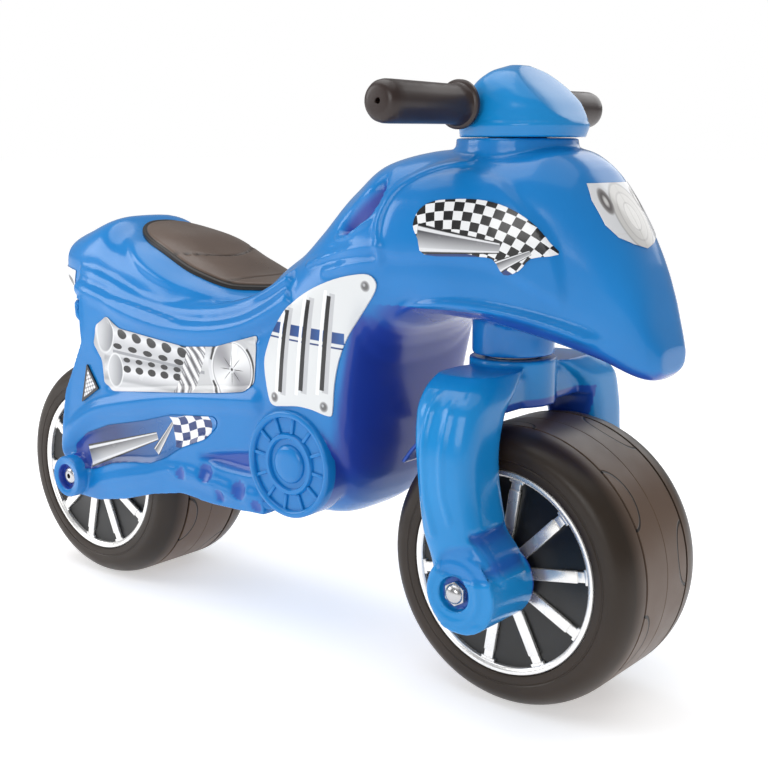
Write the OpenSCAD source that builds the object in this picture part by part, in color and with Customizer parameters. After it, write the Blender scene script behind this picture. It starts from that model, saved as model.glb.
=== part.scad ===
// Foot-to-floor ride-on motorbike for a toddler, blow-moulded in plastic.
// +X points forward, +Y to the rider's left and +Z up.
// The origin is on the floor, under the middle of the bike.

/* [Wheels] */
// Distance between the two axles
wheelbase = 480; // [470:1:490]
// Radius of a wheel over its tyre
wheel_r = 108; // [104:1:110]
// Width of a wheel over its sidewalls
wheel_w = 118; // [114:1:120]
// Width of the flat crown of the tyre
crown_w = 68; // [60:1:76]
// Radius where the sidewall starts to curve into the tread
shoulder_r = 92; // [88:1:96]
// Radius of the recess that holds the hub cap
cap_r = 80; // [76:1:82]
// Depth of that recess below the sidewall
cap_recess = 7; // [5:1:9]
// Number of chrome spokes on each side of a wheel
spoke_count = 10; // [8:1:14]
// Radius of the wheel's bearing sleeve
sleeve_r = 14; // [12:1:16]
// Turn of the front wheel's first spoke, clockwise from straight up
front_turn = 9; // [0:1:36]
// Turn of the rear wheel's first spoke, clockwise from straight up
rear_turn = 13; // [0:1:36]

/* [Axles] */
// Radius of both axles
axle_r = 5; // [4.5:0.1:5.5]
// Running clearance between an axle and its sleeve
run_gap = 0.06; // [0.03:0.01:0.09]
// Distance from the middle to the inner face of a fork leg or a cheek
straddle = 64; // [63:0.5:66]

/* [Steering] */
// Forward place of the vertical steering axis
steer_x = 210; // [206:1:212]
// Radius of the steel steering column
column_r = 8; // [7:0.5:8]
// Height of the top of the fork collar
collar_z = 262.5; // [262:0.1:262.5]
// Height of the lower edge of the headset cover
headset_z = 431; // [431:0.5:433]

/* [Handlebar] */
// Height of the handlebar axis
bar_z = 452; // [450:1:454]
// Forward place of the handlebar axis
bar_x = 190; // [188:1:190]
// Length of the handlebar over both grips
bar_span = 284; // [276:1:290]
// Radius of a grip
grip_r = 15; // [14:0.5:16]
// Radius of the tube inside the grips
bar_r = 10; // [9:0.5:10]

/* [Body] */
// Thickness of the blow-moulded walls
wall = 2.6; // [2.4:0.1:3.2]
// Number of sections along the body
body_sections = 48; // [40:1:56]
// Distance from the middle to the outer face of a cheek
cheek_y = 80; // [79:0.5:81]
// Radius of the boss around the rear axle
boss_r = 20; // [18:1:22]
// Radius of the round engine cover on each flank
engine_r = 45; // [42:1:46]
// Distance from the middle to the face of that cover
engine_y = 88; // [86:1:90]
// Half of the width of the carry handle's finger space
handle_half = 26; // [22:1:30]

/* [Trim] */
// Thickness of the stickers and side panels
trim_t = 0.8; // [0.6:0.1:1.2]
// Thickness of the seat pad
pad_t = 6; // [5:0.5:7]

/* [Hidden] */
$fn = 48;

// The rider's right is -Y and the left is +Y
RIGHT = -1;
LEFT = 1;
front_x = wheelbase / 2;
rear_x = -wheelbase / 2;

// Fits and gaps
press_gap = 0.02;
trim_gap = 0.05;
sleeve_end = straddle - 2.5;
spacer_t = 2;
spacer_r = 11;

// Steering bushes
bush_r = 14;
neck_r = 32;
neck_z = collar_z + 2.5;
flange_t = 2;
top_z = headset_z - flange_t - 1;
bush_seat = 15;
collar_r = 46;
collar_low = 380;

// Seat pad: its middle, half length and half width
pad_x = -97;
pad_half = 101;
pad_w = 51;

// Fork
leg_y = 118;
lobe_x = front_x + 5;
lobe_r = 29;
nut_floor = leg_y - 6;
nut_recess_r = 13;
crown_top = 258;
arch_r = 119;
crown_z = 224;

// Hub caps
cap_y = wheel_w / 2 - cap_recess;
cap_t = 2;

// Rear bosses
boss_y = 94;
boss_floor = boss_y - 6;
boss_recess_r = 12;

// Centre of the round engine cover
engine_x = 49;
engine_z = 166;

// Colours
BLUE = [0.08, 0.46, 0.86];
SKY = [0.12, 0.55, 0.92];
BLACK = [0.11, 0.09, 0.08];
PITCH = [0.03, 0.03, 0.03];
CHROME = [0.80, 0.81, 0.83];
WHITE = [0.93, 0.94, 0.95];

// ---------------------------------------------------------------- curves and lofts

// Slope of the straight line from point i to the next one
function chord(p, i) = (p[i + 1][1] - p[i][1]) / (p[i + 1][0] - p[i][0]);

// Slope of the smooth line at point i, flat where the line turns back
function slope(p, i) =
    i == 0 ? chord(p, 0) :
    i == len(p) - 1 ? chord(p, i - 1) :
    let (a = chord(p, i - 1), b = chord(p, i)) a * b <= 0 ? 0 : 2 * a * b / (a + b);

// Index of the stretch of line p that holds x
function stretch(p, x, i = 0) = i >= len(p) - 2 || x < p[i + 1][0] ? i : stretch(p, x, i + 1);

// Value at x of the smooth line through the points p = [[x, value], ...]
function along(p, x) =
    let (
        i = stretch(p, x),
        run = p[i + 1][0] - p[i][0],
        t = min(max((x - p[i][0]) / run, 0), 1),
        u = 1 - t
    )
    p[i][1] * (1 + 2 * t) * u * u + slope(p, i) * run * t * u * u
    + p[i + 1][1] * t * t * (3 - 2 * t) - slope(p, i + 1) * run * t * t * u;

// Highest and lowest value of line p within a distance d of x
function high(p, x, d) = max(along(p, x - d), along(p, x), along(p, x + d));
function low(p, x, d) = min(along(p, x - d), along(p, x), along(p, x + d));

// Line p at x after its shape has grown by grow, or shrunk where grow is negative
function raised(p, x, grow) = grow > 0 ? high(p, x, grow) + grow : low(p, x, -grow) + grow;
function sunk(p, x, grow) = grow > 0 ? low(p, x, grow) - grow : high(p, x, -grow) - grow;

// Power of x that keeps its sign
function bulge(x, e) = sign(x) * pow(abs(x), 2 / e);

// Skin through a list of rings that each have the same number of points
module loft(rings) {
    m = len(rings[0]);
    n = len(rings);
    polyhedron(
        points = [for (r = rings) each r],
        faces = concat(
            [[for (j = [0 : m - 1]) m - 1 - j]],
            [[for (j = [0 : m - 1]) (n - 1) * m + j]],
            [for (i = [0 : n - 2], j = [0 : m - 1], half = [0, 1])
                let (a = i * m + j, b = i * m + (j + 1) % m)
                half == 0 ? [a, b, b + m] : [a, b + m, a + m]]
        )
    );
}

// Draws a right-hand child on the side asked for
module on_side(side) {
    if (side == RIGHT) children();
    else mirror([0, 1, 0]) children();
}

// Cylinder along Y from y0 to y1, about the point (x, z)
module y_cylinder(x, z, r, y0, y1) {
    translate([x, y0, z]) rotate([-90, 0, 0]) cylinder(r = r, h = y1 - y0);
}

// Plate on the right-hand side whose 2-D child lies in the X-Z plane
module right_plate(y_in, y_out) {
    translate([0, -y_in, 0]) rotate([90, 0, 0]) linear_extrude(y_out - y_in) children();
}

// Tells OpenSCAD to hand its children over as one skin
module one_skin() {
    resize([0, 0, 0]) children();
}

// ---------------------------------------------------------------- body lines

// Lines of the trunk against X: top, bottom, height of the widest place and half width
top_line = [[-286, 318], [-276, 335], [-250, 346], [-215, 357], [-190, 346], [-140, 335], [-95, 317],
    [-50, 303], [-10, 301], [6, 322], [38, 344], [62, 366], [90, 394], [120, 412], [165, 420],
    [255, 421], [277, 411], [291, 396], [307, 374], [321, 350], [331, 326], [338, 300], [346, 280]];
bottom_line = [[-286, 300], [-276, 284], [-250, 266], [-200, 240], [-124, 234], [-112, 130],
    [-95, 114], [0, 110], [60, 113], [84, 124], [101, 155], [110, 205], [121, 258], [143, 284],
    [170, 294], [210, 292], [250, 284], [300, 270], [335, 258], [342, 259], [346, 266]];
waist_line = [[-286, 310], [-250, 305], [-150, 285], [-90, 250], [0, 220], [90, 250], [130, 335],
    [250, 330], [310, 305], [346, 274]];
width_line = [[-286, 42], [-272, 56], [-230, 66], [-120, 72], [0, 79], [60, 84], [120, 84], [180, 83],
    [240, 72], [290, 52], [325, 36], [341, 26], [346, 18]];
squareness = 3;
ring_points = 24;

trunk_x0 = -285;
trunk_x1 = 345;

function trunk_ring(x, grow) =
    let (
        top = raised(top_line, x, grow),
        bottom = sunk(bottom_line, x, grow),
        waist = along(waist_line, x),
        width = raised(width_line, x, grow)
    )
    [for (k = [0 : ring_points - 1])
        let (c = cos(-360 * k / ring_points), s = sin(-360 * k / ring_points))
        [x, width * bulge(c, squareness),
            waist + (s > 0 ? top - waist : waist - bottom) * bulge(s, squareness)]];

// Trunk of the body, grown outwards by grow, or shrunk where grow is negative
module trunk(grow) {
    step = (trunk_x1 - trunk_x0) / body_sections;
    loft([for (i = [0 : body_sections])
        let (end = i == 0 ? -grow : i == body_sections ? grow : 0)
        trunk_ring(trunk_x0 + i * step + end, grow)]);
}

// Side view of a cheek, the wall beside the rear wheel that ends in the axle boss
module cheek_outline() {
    polygon([[-258, 118], [-260, 152], [-252, 190], [-226, 240], [-226, 284], [-180, 286], [-80, 270],
        [10, 262], [14, 212], [14, 114], [-50, 112], [-90, 115], [-130, 107], [-170, 95], [-210, 87],
        [-236, 87]]);
}

module cheek(side, grow) {
    on_side(side) {
        right_plate(straddle - grow, cheek_y + grow) offset(delta = grow) cheek_outline();
        y_cylinder(rear_x, wheel_r, boss_r + grow, -boss_y - grow, -straddle + grow);
    }
}

// Finger space of the carry handle: a hollow behind the tank that runs up through a slot
module handle_hollow(grow) {
    rotate([90, 0, 0]) linear_extrude(2 * (handle_half + grow), center = true) offset(delta = grow)
        polygon([[34, 336], [70, 343], [110, 354], [138, 370], [150, 392], [150, 436], [122, 436],
            [120, 402], [106, 388], [94, 388], [82, 420], [30, 420]]);
}

module body_form(grow) {
    difference() {
        union() {
            trunk(grow);
            for (side = [RIGHT, LEFT]) {
                cheek(side, grow);
                on_side(side) y_cylinder(engine_x, engine_z, engine_r + grow, -engine_y - grow, -60);
            }
            translate([steer_x, 0, neck_z - grow]) cylinder(r = neck_r + grow, h = 60 + grow);
            translate([steer_x, 0, collar_low]) cylinder(r = collar_r + grow, h = top_z - collar_low + grow);
        }
        handle_hollow(-grow);
    }
}

module body_shell() {
    color(BLUE) difference() {
        one_skin() difference() {
            body_form(0);
            body_form(-wall);
            y_cylinder(rear_x, wheel_r, axle_r - 1, -boss_y - 1, boss_y + 1);
        }
        translate([steer_x, 0, neck_z - 1]) cylinder(r = bush_r + press_gap, h = bush_seat + 1);
        translate([steer_x, 0, top_z - bush_seat]) cylinder(r = bush_r + press_gap, h = bush_seat + 1);
        y_cylinder(rear_x, wheel_r, axle_r + press_gap, -boss_y - 1, boss_y + 1);
        for (side = [RIGHT, LEFT])
            on_side(side) y_cylinder(rear_x, wheel_r, boss_recess_r, -boss_y - 1, -boss_floor);
    }
}

// ---------------------------------------------------------------- skins that lie on the body

// The layer of the given thickness just outside the trunk
module body_layer(thickness) {
    one_skin() intersection() {
        difference() {
            trunk(trim_gap + thickness);
            trunk(trim_gap);
        }
        children();
    }
}

module seat_pad() {
    color(BLACK) body_layer(pad_t) translate([0, 0, 290]) linear_extrude(100)
        polygon([for (a = [0 : 15 : 345])
            [pad_x + pad_half * cos(a), (pad_w - 9 * cos(a)) * bulge(sin(a), 2.6)]]);
}

// Side cover with a slanted rear edge, on the flank below the tank
module side_panel(side) {
    color(WHITE) body_layer(trim_t) on_side(side) right_plate(40, 120)
        polygon([[22, 242], [36, 278], [62, 303], [98, 324], [132, 329], [142, 322], [126, 298],
            [104, 258], [94, 216], [84, 213], [36, 213], [26, 220]]);
}

module exhaust_sticker(side) {
    color(CHROME) on_side(side) right_plate(cheek_y + trim_gap, cheek_y + trim_gap + trim_t)
        polygon([[-206, 240], [-202, 258], [-186, 268], [-168, 258], [-80, 246], [8, 256], [4, 214],
            [-40, 208], [-180, 196], [-190, 214]]);
}

module fairing_sticker(side) {
    color(WHITE) body_layer(trim_t) on_side(side) right_plate(40, 120)
        polygon([[178, 366], [184, 379], [206, 384], [228, 384], [248, 379], [267, 367], [281, 349],
            [265, 345], [255, 335], [244, 341], [188, 347]]);
}

module swingarm_sticker(side) {
    color(BLUE * 0.5) on_side(side) right_plate(cheek_y + trim_gap, cheek_y + trim_gap + trim_t)
        polygon([[-206, 118], [-216, 142], [-130, 172], [-98, 186], [-44, 190], [-50, 166], [-98, 150],
            [-150, 128]]);
}

module reflector(side) {
    color([0.8, 0.8, 0.82]) on_side(side) right_plate(cheek_y + trim_gap, cheek_y + trim_gap + 2)
        polygon([[-226, 182], [-200, 198], [-216, 220]]);
}

// Half of the front lamp, which wraps round the nose and is split on the middle plane
module headlight(side) {
    color(WHITE) body_layer(trim_t) on_side(side) translate([steer_x, 0, 0]) rotate([90, 0, 90])
        linear_extrude(200) polygon([[-0.4, 397], [-28, 397], [-33, 386], [-33, 368], [-27, 359],
            [-15, 354], [-0.4, 351]]);
}

module tail_light(side) {
    color(WHITE) body_layer(trim_t) on_side(side) right_plate(20, 120)
        polygon([[-290, 292], [-290, 312], [-250, 306], [-262, 284], [-280, 280]]);
}

// ---------------------------------------------------------------- steering

module bush(z_in, z_out) {
    lower = z_out < z_in;
    color([0.85, 0.85, 0.8]) difference() {
        union() {
            translate([steer_x, 0, min(z_in, z_out)]) cylinder(r = bush_r, h = abs(z_out - z_in));
            translate([steer_x, 0, lower ? z_out - flange_t : z_out]) cylinder(r = 22, h = flange_t);
        }
        translate([steer_x, 0, min(z_in, z_out) - 5])
            cylinder(r = column_r + run_gap, h = abs(z_out - z_in) + 10);
    }
}

module steering_column() {
    color(CHROME) translate([steer_x, 0, crown_z + 1]) difference() {
        cylinder(r = column_r, h = 236);
        translate([0, 0, -1]) cylinder(r = column_r - 2, h = 238);
    }
}

module column_nut() {
    color(CHROME) difference() {
        translate([steer_x, 0, crown_z + 1]) cylinder(r = 15, h = 8, $fn = 6);
        translate([steer_x, 0, crown_z]) cylinder(r = column_r + press_gap, h = 20);
    }
}

// Lines of a fork leg against Z: rear edge, front edge, inner side and outer side
leg_rear = [[108, 216], [128, 212], [150, 205], [200, 198], [240, 192], [258, 190]];
leg_front = [[108, 274], [128, 272], [150, 256], [200, 248], [240, 248], [258, 240]];
leg_inner = [[108, 64], [200, 64], [232, 56], [258, 20]];
leg_outer = [[108, 116], [150, 118], [200, 117], [235, 110], [250, 98], [260, 76]];
leg_sections = 14;

function leg_ring(z, grow) =
    let (
        x0 = along(leg_rear, z) - grow,
        x1 = along(leg_front, z) + grow,
        y0 = along(leg_inner, z) - grow,
        y1 = along(leg_outer, z) + grow,
        points = 24
    )
    [for (k = [0 : points - 1])
        let (c = cos(-360 * k / points), s = sin(-360 * k / points))
        [(x0 + x1) / 2 + (x1 - x0) / 2 * bulge(c, 4), -(y0 + y1) / 2 + (y1 - y0) / 2 * bulge(s, 4), z]];

module fork_form(grow) {
    z0 = 108 - grow;
    step = (crown_top + grow - z0) / leg_sections;
    for (side = [RIGHT, LEFT]) on_side(side) {
        loft([for (i = [0 : leg_sections]) leg_ring(z0 + i * step, grow)]);
        y_cylinder(lobe_x, wheel_r, lobe_r + grow, -leg_y - grow, -straddle + grow);
    }
    translate([steer_x - 22 - grow, -70, crown_z - grow])
        cube([46 + 2 * grow, 140, crown_top - crown_z + 2 * grow]);
    translate([steer_x, 0, crown_z - grow]) cylinder(r = 34 + grow, h = collar_z - crown_z + 2 * grow);
}

// Rear mudguard: a stretch of ring around the front wheel
module mudguard() {
    difference() {
        y_cylinder(front_x, wheel_r, arch_r + wall, -50, 50);
        translate([front_x - 200, -60, wheel_r - 200]) cube([400, 120, 268]);
        translate([front_x - 20, -60, 0]) cube([200, 120, 400]);
    }
}

module front_fork() {
    color(SKY) difference() {
        one_skin() difference() {
            union() {
                fork_form(0);
                mudguard();
            }
            difference() {
                fork_form(-wall);
                translate([steer_x, 0, crown_z - 10]) cylinder(r = 24, h = 60);
                y_cylinder(front_x, wheel_r, arch_r + wall, -straddle - wall, straddle + wall);
            }
            y_cylinder(front_x, wheel_r, arch_r, -straddle, straddle);
            y_cylinder(front_x, wheel_r, axle_r - 1, -leg_y - 1, leg_y + 1);
        }
        translate([steer_x, 0, crown_z - 10]) cylinder(r = column_r + press_gap, h = 60);
        translate([steer_x, 0, crown_z - 10]) cylinder(r = 17, h = 19);
        y_cylinder(front_x, wheel_r, axle_r + press_gap, -leg_y - 1, leg_y + 1);
        for (side = [RIGHT, LEFT])
            on_side(side) y_cylinder(front_x, wheel_r, nut_recess_r, -leg_y - 1, -nut_floor);
    }
}

// Lines of the headset cover against Z: rear edge, front edge and half width
head_rear = [[431, 168], [440, 168], [455, 174], [468, 184], [478, 200], [481, 208]];
head_front = [[431, 262], [440, 266], [448, 262], [460, 248], [472, 232], [481, 218]];
head_half = [[431, 44], [438, 46], [450, 42], [466, 34], [476, 24], [481, 10]];
head_sections = 12;
head_top = 481;

function head_ring(z, grow) =
    let (
        x0 = along(head_rear, z) - grow,
        x1 = along(head_front, z) + grow,
        w = along(head_half, z) + grow,
        points = 28
    )
    [for (k = [0 : points - 1])
        let (c = cos(-360 * k / points), s = sin(-360 * k / points))
        [(x0 + x1) / 2 + (x1 - x0) / 2 * bulge(c, 2.4), w * bulge(s, 2.4), z]];

module head_form(z0, z1, grow) {
    loft([for (i = [0 : head_sections]) head_ring(z0 + i * (z1 - z0) / head_sections, grow)]);
}

module headset_cover() {
    color(BLUE) difference() {
        one_skin() difference() {
            head_form(headset_z, head_top, 0);
            difference() {
                head_form(headset_z - 1, head_top - wall, -wall);
                translate([steer_x, 0, headset_z - 2]) cylinder(r = 13, h = 60);
            }
        }
        translate([steer_x, 0, headset_z - 1]) cylinder(r = column_r + press_gap, h = 32);
        y_cylinder(bar_x, bar_z, bar_r + press_gap, -60, 60);
    }
}

module handlebar_tube() {
    half = bar_span / 2 - 8;
    color(CHROME) difference() {
        y_cylinder(bar_x, bar_z, bar_r, -half, half);
        y_cylinder(bar_x, bar_z, bar_r - 2, -half - 1, half + 1);
    }
}

// Grip with a flange at its inner end and a rounded outer end with a small vent
module grip(side) {
    end = bar_span / 2;
    start = 46;
    color(BLACK) on_side(side) translate([bar_x, -start, bar_z]) rotate([90, 0, 0])
        rotate_extrude($fn = 64) polygon(concat(
            [[bar_r + press_gap, 0], [grip_r + 3, 0], [grip_r + 3, 4], [grip_r, 6]],
            [for (a = [0 : 15 : 75]) [grip_r - 8 + 8 * cos(a), end - start - 8 + 8 * sin(a)]],
            [[grip_r - 8, end - start], [2, end - start], [2, end - start - 7],
                [bar_r + press_gap, end - start - 7]]));
}

// ---------------------------------------------------------------- axles

module axle(x, half) {
    color(CHROME) y_cylinder(x, wheel_r, axle_r, -half, half);
}

module spacers(x) {
    color(CHROME) for (side = [RIGHT, LEFT]) on_side(side) difference() {
        y_cylinder(x, wheel_r, spacer_r, -straddle, -straddle + spacer_t);
        y_cylinder(x, wheel_r, axle_r + press_gap, -straddle - 1, -straddle + spacer_t + 1);
    }
}

module rear_axle_caps() {
    color(CHROME) for (side = [RIGHT, LEFT]) on_side(side) difference() {
        y_cylinder(rear_x, wheel_r, 8, -boss_floor - 3, -boss_floor);
        y_cylinder(rear_x, wheel_r, axle_r + press_gap, -boss_floor - 2, -boss_floor + 1);
    }
}

module front_axle_nuts() {
    color(CHROME) for (side = [RIGHT, LEFT]) on_side(side) difference() {
        union() {
            translate([front_x, -nut_floor, wheel_r]) rotate([90, 0, 0]) cylinder(r = 9.5, h = 5, $fn = 6);
            translate([front_x, -nut_floor - 5, wheel_r]) rotate([90, 0, 0]) cylinder(r1 = 7, r2 = 5, h = 4);
        }
        y_cylinder(front_x, wheel_r, axle_r + press_gap, -nut_floor - 6, -nut_floor + 1);
    }
}

// ---------------------------------------------------------------- wheels

// Half of the shell's section, from the web out to the crown, shrunk by inset
function wheel_section(inset) =
    let (y = wheel_w / 2 - inset, crown = crown_w / 2, r = wheel_r - inset)
    concat(
        [[sleeve_r + press_gap, cap_y - inset], [cap_r + inset, cap_y - inset], [cap_r + inset, y]],
        [for (a = [90 : -10 : 0]) [shoulder_r + (r - shoulder_r) * cos(a), crown + (y - crown) * sin(a)]]
    );

function reversed(p) = [for (i = [len(p) - 1 : -1 : 0]) p[i]];
function flipped(p) = [for (q = reversed(p)) [q[0], -q[1]]];

// Spins a section drawn in [radius, distance to the rider's right]
module wheel_spin(x) {
    translate([x, 0, wheel_r]) rotate([90, 0, 0]) rotate_extrude($fn = 96) children();
}

module wheel_shell(x) {
    outer = wheel_section(0);
    inner = wheel_section(wall);
    color(BLACK) wheel_spin(x)
        polygon(concat(outer, flipped(outer), [for (q = inner) [q[0], -q[1]]], reversed(inner)));
}

module wheel_sleeve(x) {
    color(PITCH) difference() {
        y_cylinder(x, wheel_r, sleeve_r, -sleeve_end, sleeve_end);
        y_cylinder(x, wheel_r, axle_r + run_gap, -sleeve_end - 1, sleeve_end + 1);
    }
}

module hub_cap(x, side) {
    color(PITCH) on_side(side) wheel_spin(x)
        polygon([[sleeve_r + 0.2, cap_y], [cap_r - 0.2, cap_y], [cap_r - 0.2, cap_y + cap_t],
            [sleeve_r + 0.2, cap_y + cap_t]]);
}

module spokes(x, side, turn) {
    y = cap_y + cap_t;
    color(CHROME) on_side(side) {
        wheel_spin(x) polygon([[cap_r - 6, y], [cap_r - 0.5, y], [cap_r - 0.5, y + 4], [cap_r - 4, y + 4.5],
            [cap_r - 6, y + 3]]);
        wheel_spin(x) polygon([[sleeve_r + 0.2, y], [22, y], [22, y + 3], [sleeve_r + 0.2, y + 3]]);
        for (i = [0 : spoke_count - 1])
            translate([x, -y, wheel_r]) rotate([0, turn + i * 360 / spoke_count, 0]) {
                translate([-4, -2.5, 21]) cube([8, 2.5, cap_r - 26]);
                translate([-7, -2.5, cap_r - 9]) cube([14, 2.5, 5]);
            }
    }
}

// ---------------------------------------------------------------- assembly

body_shell();
seat_pad();
bush(neck_z + 18, neck_z);  // lower_bush
bush(top_z - 20, top_z);  // upper_bush
axle(rear_x, boss_floor + 2);  // rear_axle
rear_axle_caps();
spacers(rear_x);  // rear_spacers
side_panel(RIGHT);  // side_panel_right
side_panel(LEFT);  // side_panel_left
exhaust_sticker(RIGHT);  // exhaust_sticker_right
exhaust_sticker(LEFT);  // exhaust_sticker_left
fairing_sticker(RIGHT);  // fairing_sticker_right
fairing_sticker(LEFT);  // fairing_sticker_left
swingarm_sticker(RIGHT);  // swingarm_sticker_right
swingarm_sticker(LEFT);  // swingarm_sticker_left
reflector(RIGHT);  // reflector_right
reflector(LEFT);  // reflector_left
headlight(RIGHT);  // headlight_right
headlight(LEFT);  // headlight_left
tail_light(RIGHT);  // tail_light_right
tail_light(LEFT);  // tail_light_left
front_fork();
steering_column();
column_nut();
headset_cover();
handlebar_tube();
grip(RIGHT);  // grip_right
grip(LEFT);  // grip_left
axle(front_x, nut_floor + 4);  // front_axle
front_axle_nuts();
spacers(front_x);  // front_spacers
wheel_shell(front_x);  // front_wheel_shell
wheel_sleeve(front_x);  // front_wheel_sleeve
hub_cap(front_x, RIGHT);  // front_hub_cap_right
hub_cap(front_x, LEFT);  // front_hub_cap_left
spokes(front_x, RIGHT, front_turn);  // front_spokes_right
spokes(front_x, LEFT, front_turn);  // front_spokes_left
wheel_shell(rear_x);  // rear_wheel_shell
wheel_sleeve(rear_x);  // rear_wheel_sleeve
hub_cap(rear_x, RIGHT);  // rear_hub_cap_right
hub_cap(rear_x, LEFT);  // rear_hub_cap_left
spokes(rear_x, RIGHT, rear_turn);  // rear_spokes_right
spokes(rear_x, LEFT, rear_turn);  // rear_spokes_left
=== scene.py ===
# %% [markdown]
# # A toddler's foot-to-floor motorbike
# The real toy is blow-moulded in blue plastic, with hollow plastic wheels, a hard seat pad,
# chrome-plated spokes and printed stickers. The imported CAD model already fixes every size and
# every joint. This lesson adds the looks: rounder skins, moulded relief, prints and finishes.

# %% Load the frame
import math

import bpy
import numpy as np
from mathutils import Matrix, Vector


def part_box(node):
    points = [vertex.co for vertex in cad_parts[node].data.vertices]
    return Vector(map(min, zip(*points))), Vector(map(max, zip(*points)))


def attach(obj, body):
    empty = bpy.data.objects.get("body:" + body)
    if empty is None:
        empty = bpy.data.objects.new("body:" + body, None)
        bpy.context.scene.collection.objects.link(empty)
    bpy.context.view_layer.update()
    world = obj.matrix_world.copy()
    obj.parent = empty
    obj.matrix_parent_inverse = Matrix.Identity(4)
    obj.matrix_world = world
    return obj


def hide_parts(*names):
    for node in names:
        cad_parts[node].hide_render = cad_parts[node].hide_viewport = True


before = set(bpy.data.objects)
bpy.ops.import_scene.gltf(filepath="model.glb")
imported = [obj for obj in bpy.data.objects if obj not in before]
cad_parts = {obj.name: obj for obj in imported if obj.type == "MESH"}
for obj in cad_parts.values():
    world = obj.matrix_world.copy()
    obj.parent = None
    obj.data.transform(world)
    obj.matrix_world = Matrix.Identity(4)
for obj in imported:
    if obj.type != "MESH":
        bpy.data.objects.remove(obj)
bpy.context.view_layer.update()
bpy.ops.object.select_all(action="DESELECT")
MM = 0.001

# %% [markdown]
# ## Driving places
# The wheels and the steering axis are read from the CAD nodes, so the skins below follow the frame.
# The body's own lines are repeated here in millimetres, because a script can't read the CAD source.

# %% Axles and steering axis
def middle(node):
    low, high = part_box(node)
    return (low + high) / 2


front_axle = middle("front_axle")
rear_axle = middle("rear_axle")
column = middle("steering_column")
FRONT_X, REAR_X, STEER_X = (round(p.x / MM) for p in (front_axle, rear_axle, column))
AXLE_Z = round(front_axle.z / MM)
BAR = middle("handlebar_tube") / MM
SIDES = {"right": -1, "left": 1}
print("axles at", FRONT_X, REAR_X, "height", AXLE_Z, "steering axis at", STEER_X)

# %% [markdown]
# ## Camera and light
# The camera stands ahead and to the right of the bike, a little above the seat, with a long lens.
# A studio shot of a glossy toy needs large soft lights: their reflections draw the shape.
# A small lamp would only leave hard white dots, so area lights of a metre or more are used.

# %% Camera
bpy.ops.object.camera_add(location=(0.7286, -0.7969, 0.4203))
camera = bpy.context.object
camera.name = "camera"
look_at = Vector((0.0806, 0, 0.2242))
camera.rotation_euler = (look_at - camera.location).to_track_quat("-Z", "Y").to_euler()
camera.data.lens, camera.data.sensor_width = 57.79, 36
bpy.context.scene.camera = camera
print("camera distance", round((look_at - camera.location).length, 3), "m")


# %% Lights and floor
def soft_light(name, place, target, size, power):
    """A rectangular light of some metres, in watts, that faces its target."""
    bpy.ops.object.light_add(type="AREA", location=place)
    light = bpy.context.object
    light.name = name
    light.rotation_euler = (Vector(target) - Vector(place)).to_track_quat("-Z", "Y").to_euler()
    light.data.shape = "RECTANGLE"
    light.data.size, light.data.size_y = size
    light.data.energy = power


soft_light("overhead", (-0.45, -0.1, 1.7), (0, 0, 0.2), (1.6, 1.2), 9)
soft_light("rear_side", (-1.7, -1.2, 1.0), (0, 0, 0.25), (1.2, 1.0), 13)
soft_light("front_fill", (0.6, -2.1, 0.9), (0.1, 0, 0.25), (1.2, 0.8), 10)
soft_light("far_side", (0.2, 1.8, 1.2), (0, 0, 0.25), (1.4, 1.0), 7)
bpy.ops.object.light_add(type="SUN", location=(0, 0, 2))
ceiling = bpy.context.object
ceiling.name = "ceiling"
ceiling.data.energy, ceiling.data.angle = 0.9, math.radians(70)

AMBIENT, BACKDROP, FLOOR_SIZE, FLOOR_GLOW = 0.36, 1.0, 80, 0.46
world = bpy.data.worlds.new("studio")
bpy.context.scene.world = world
world.use_nodes = True
sky = world.node_tree
rays = sky.nodes.new("ShaderNodeLightPath").outputs["Is Camera Ray"]
glow = sky.nodes.new("ShaderNodeMapRange")
sky.links.new(rays, glow.inputs["Value"])
glow.inputs["To Min"].default_value = AMBIENT
glow.inputs["To Max"].default_value = BACKDROP
sky.links.new(glow.outputs[0], sky.nodes["Background"].inputs["Strength"])
sky.nodes["Background"].inputs["Color"].default_value = (1, 1, 1, 1)
bpy.context.scene.view_settings.view_transform = "Standard"

bpy.ops.mesh.primitive_plane_add(size=FLOOR_SIZE, location=(0, 0, 0))
floor = bpy.context.object
floor.name = "floor"

# %% [markdown]
# ## Finishes
# Moulded plastic is never one flat colour. Its gloss wanders a little, the colour is slightly
# deeper where the wall is thick, and the surface has a very fine ripple. One helper lays these
# three noises on Object coordinates, and each finish then adds what is its own.


# %% Node helpers
def link(tree, value, socket):
    """Joins a node output to a socket, or sets the socket to a plain number or colour."""
    if isinstance(value, bpy.types.NodeSocket):
        tree.links.new(value, socket)
    else:
        socket.default_value = value


def calc(tree, operation, a, b=0.0, c=0.0):
    node = tree.nodes.new("ShaderNodeMath")
    node.operation = operation
    for value, socket in zip((a, b, c), node.inputs):
        link(tree, value, socket)
    return node.outputs[0]


def blend(tree, mask, under, over):
    node = tree.nodes.new("ShaderNodeMixRGB")
    for value, socket in zip((mask, under, over), node.inputs):
        link(tree, value, socket)
    return node.outputs[0]


def noise(tree, where, scale, detail=2.0):
    node = tree.nodes.new("ShaderNodeTexNoise")
    link(tree, where, node.inputs["Vector"])
    node.inputs["Scale"].default_value = scale
    node.inputs["Detail"].default_value = detail
    return node.outputs["Fac"]


def rescale(tree, value, low, high, to_low, to_high):
    node = tree.nodes.new("ShaderNodeMapRange")
    for v, socket in zip((value, low, high, to_low, to_high), node.inputs):
        link(tree, v, socket)
    return node.outputs[0]


def rgb(r, g, b):
    return (r, g, b, 1.0)


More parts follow.
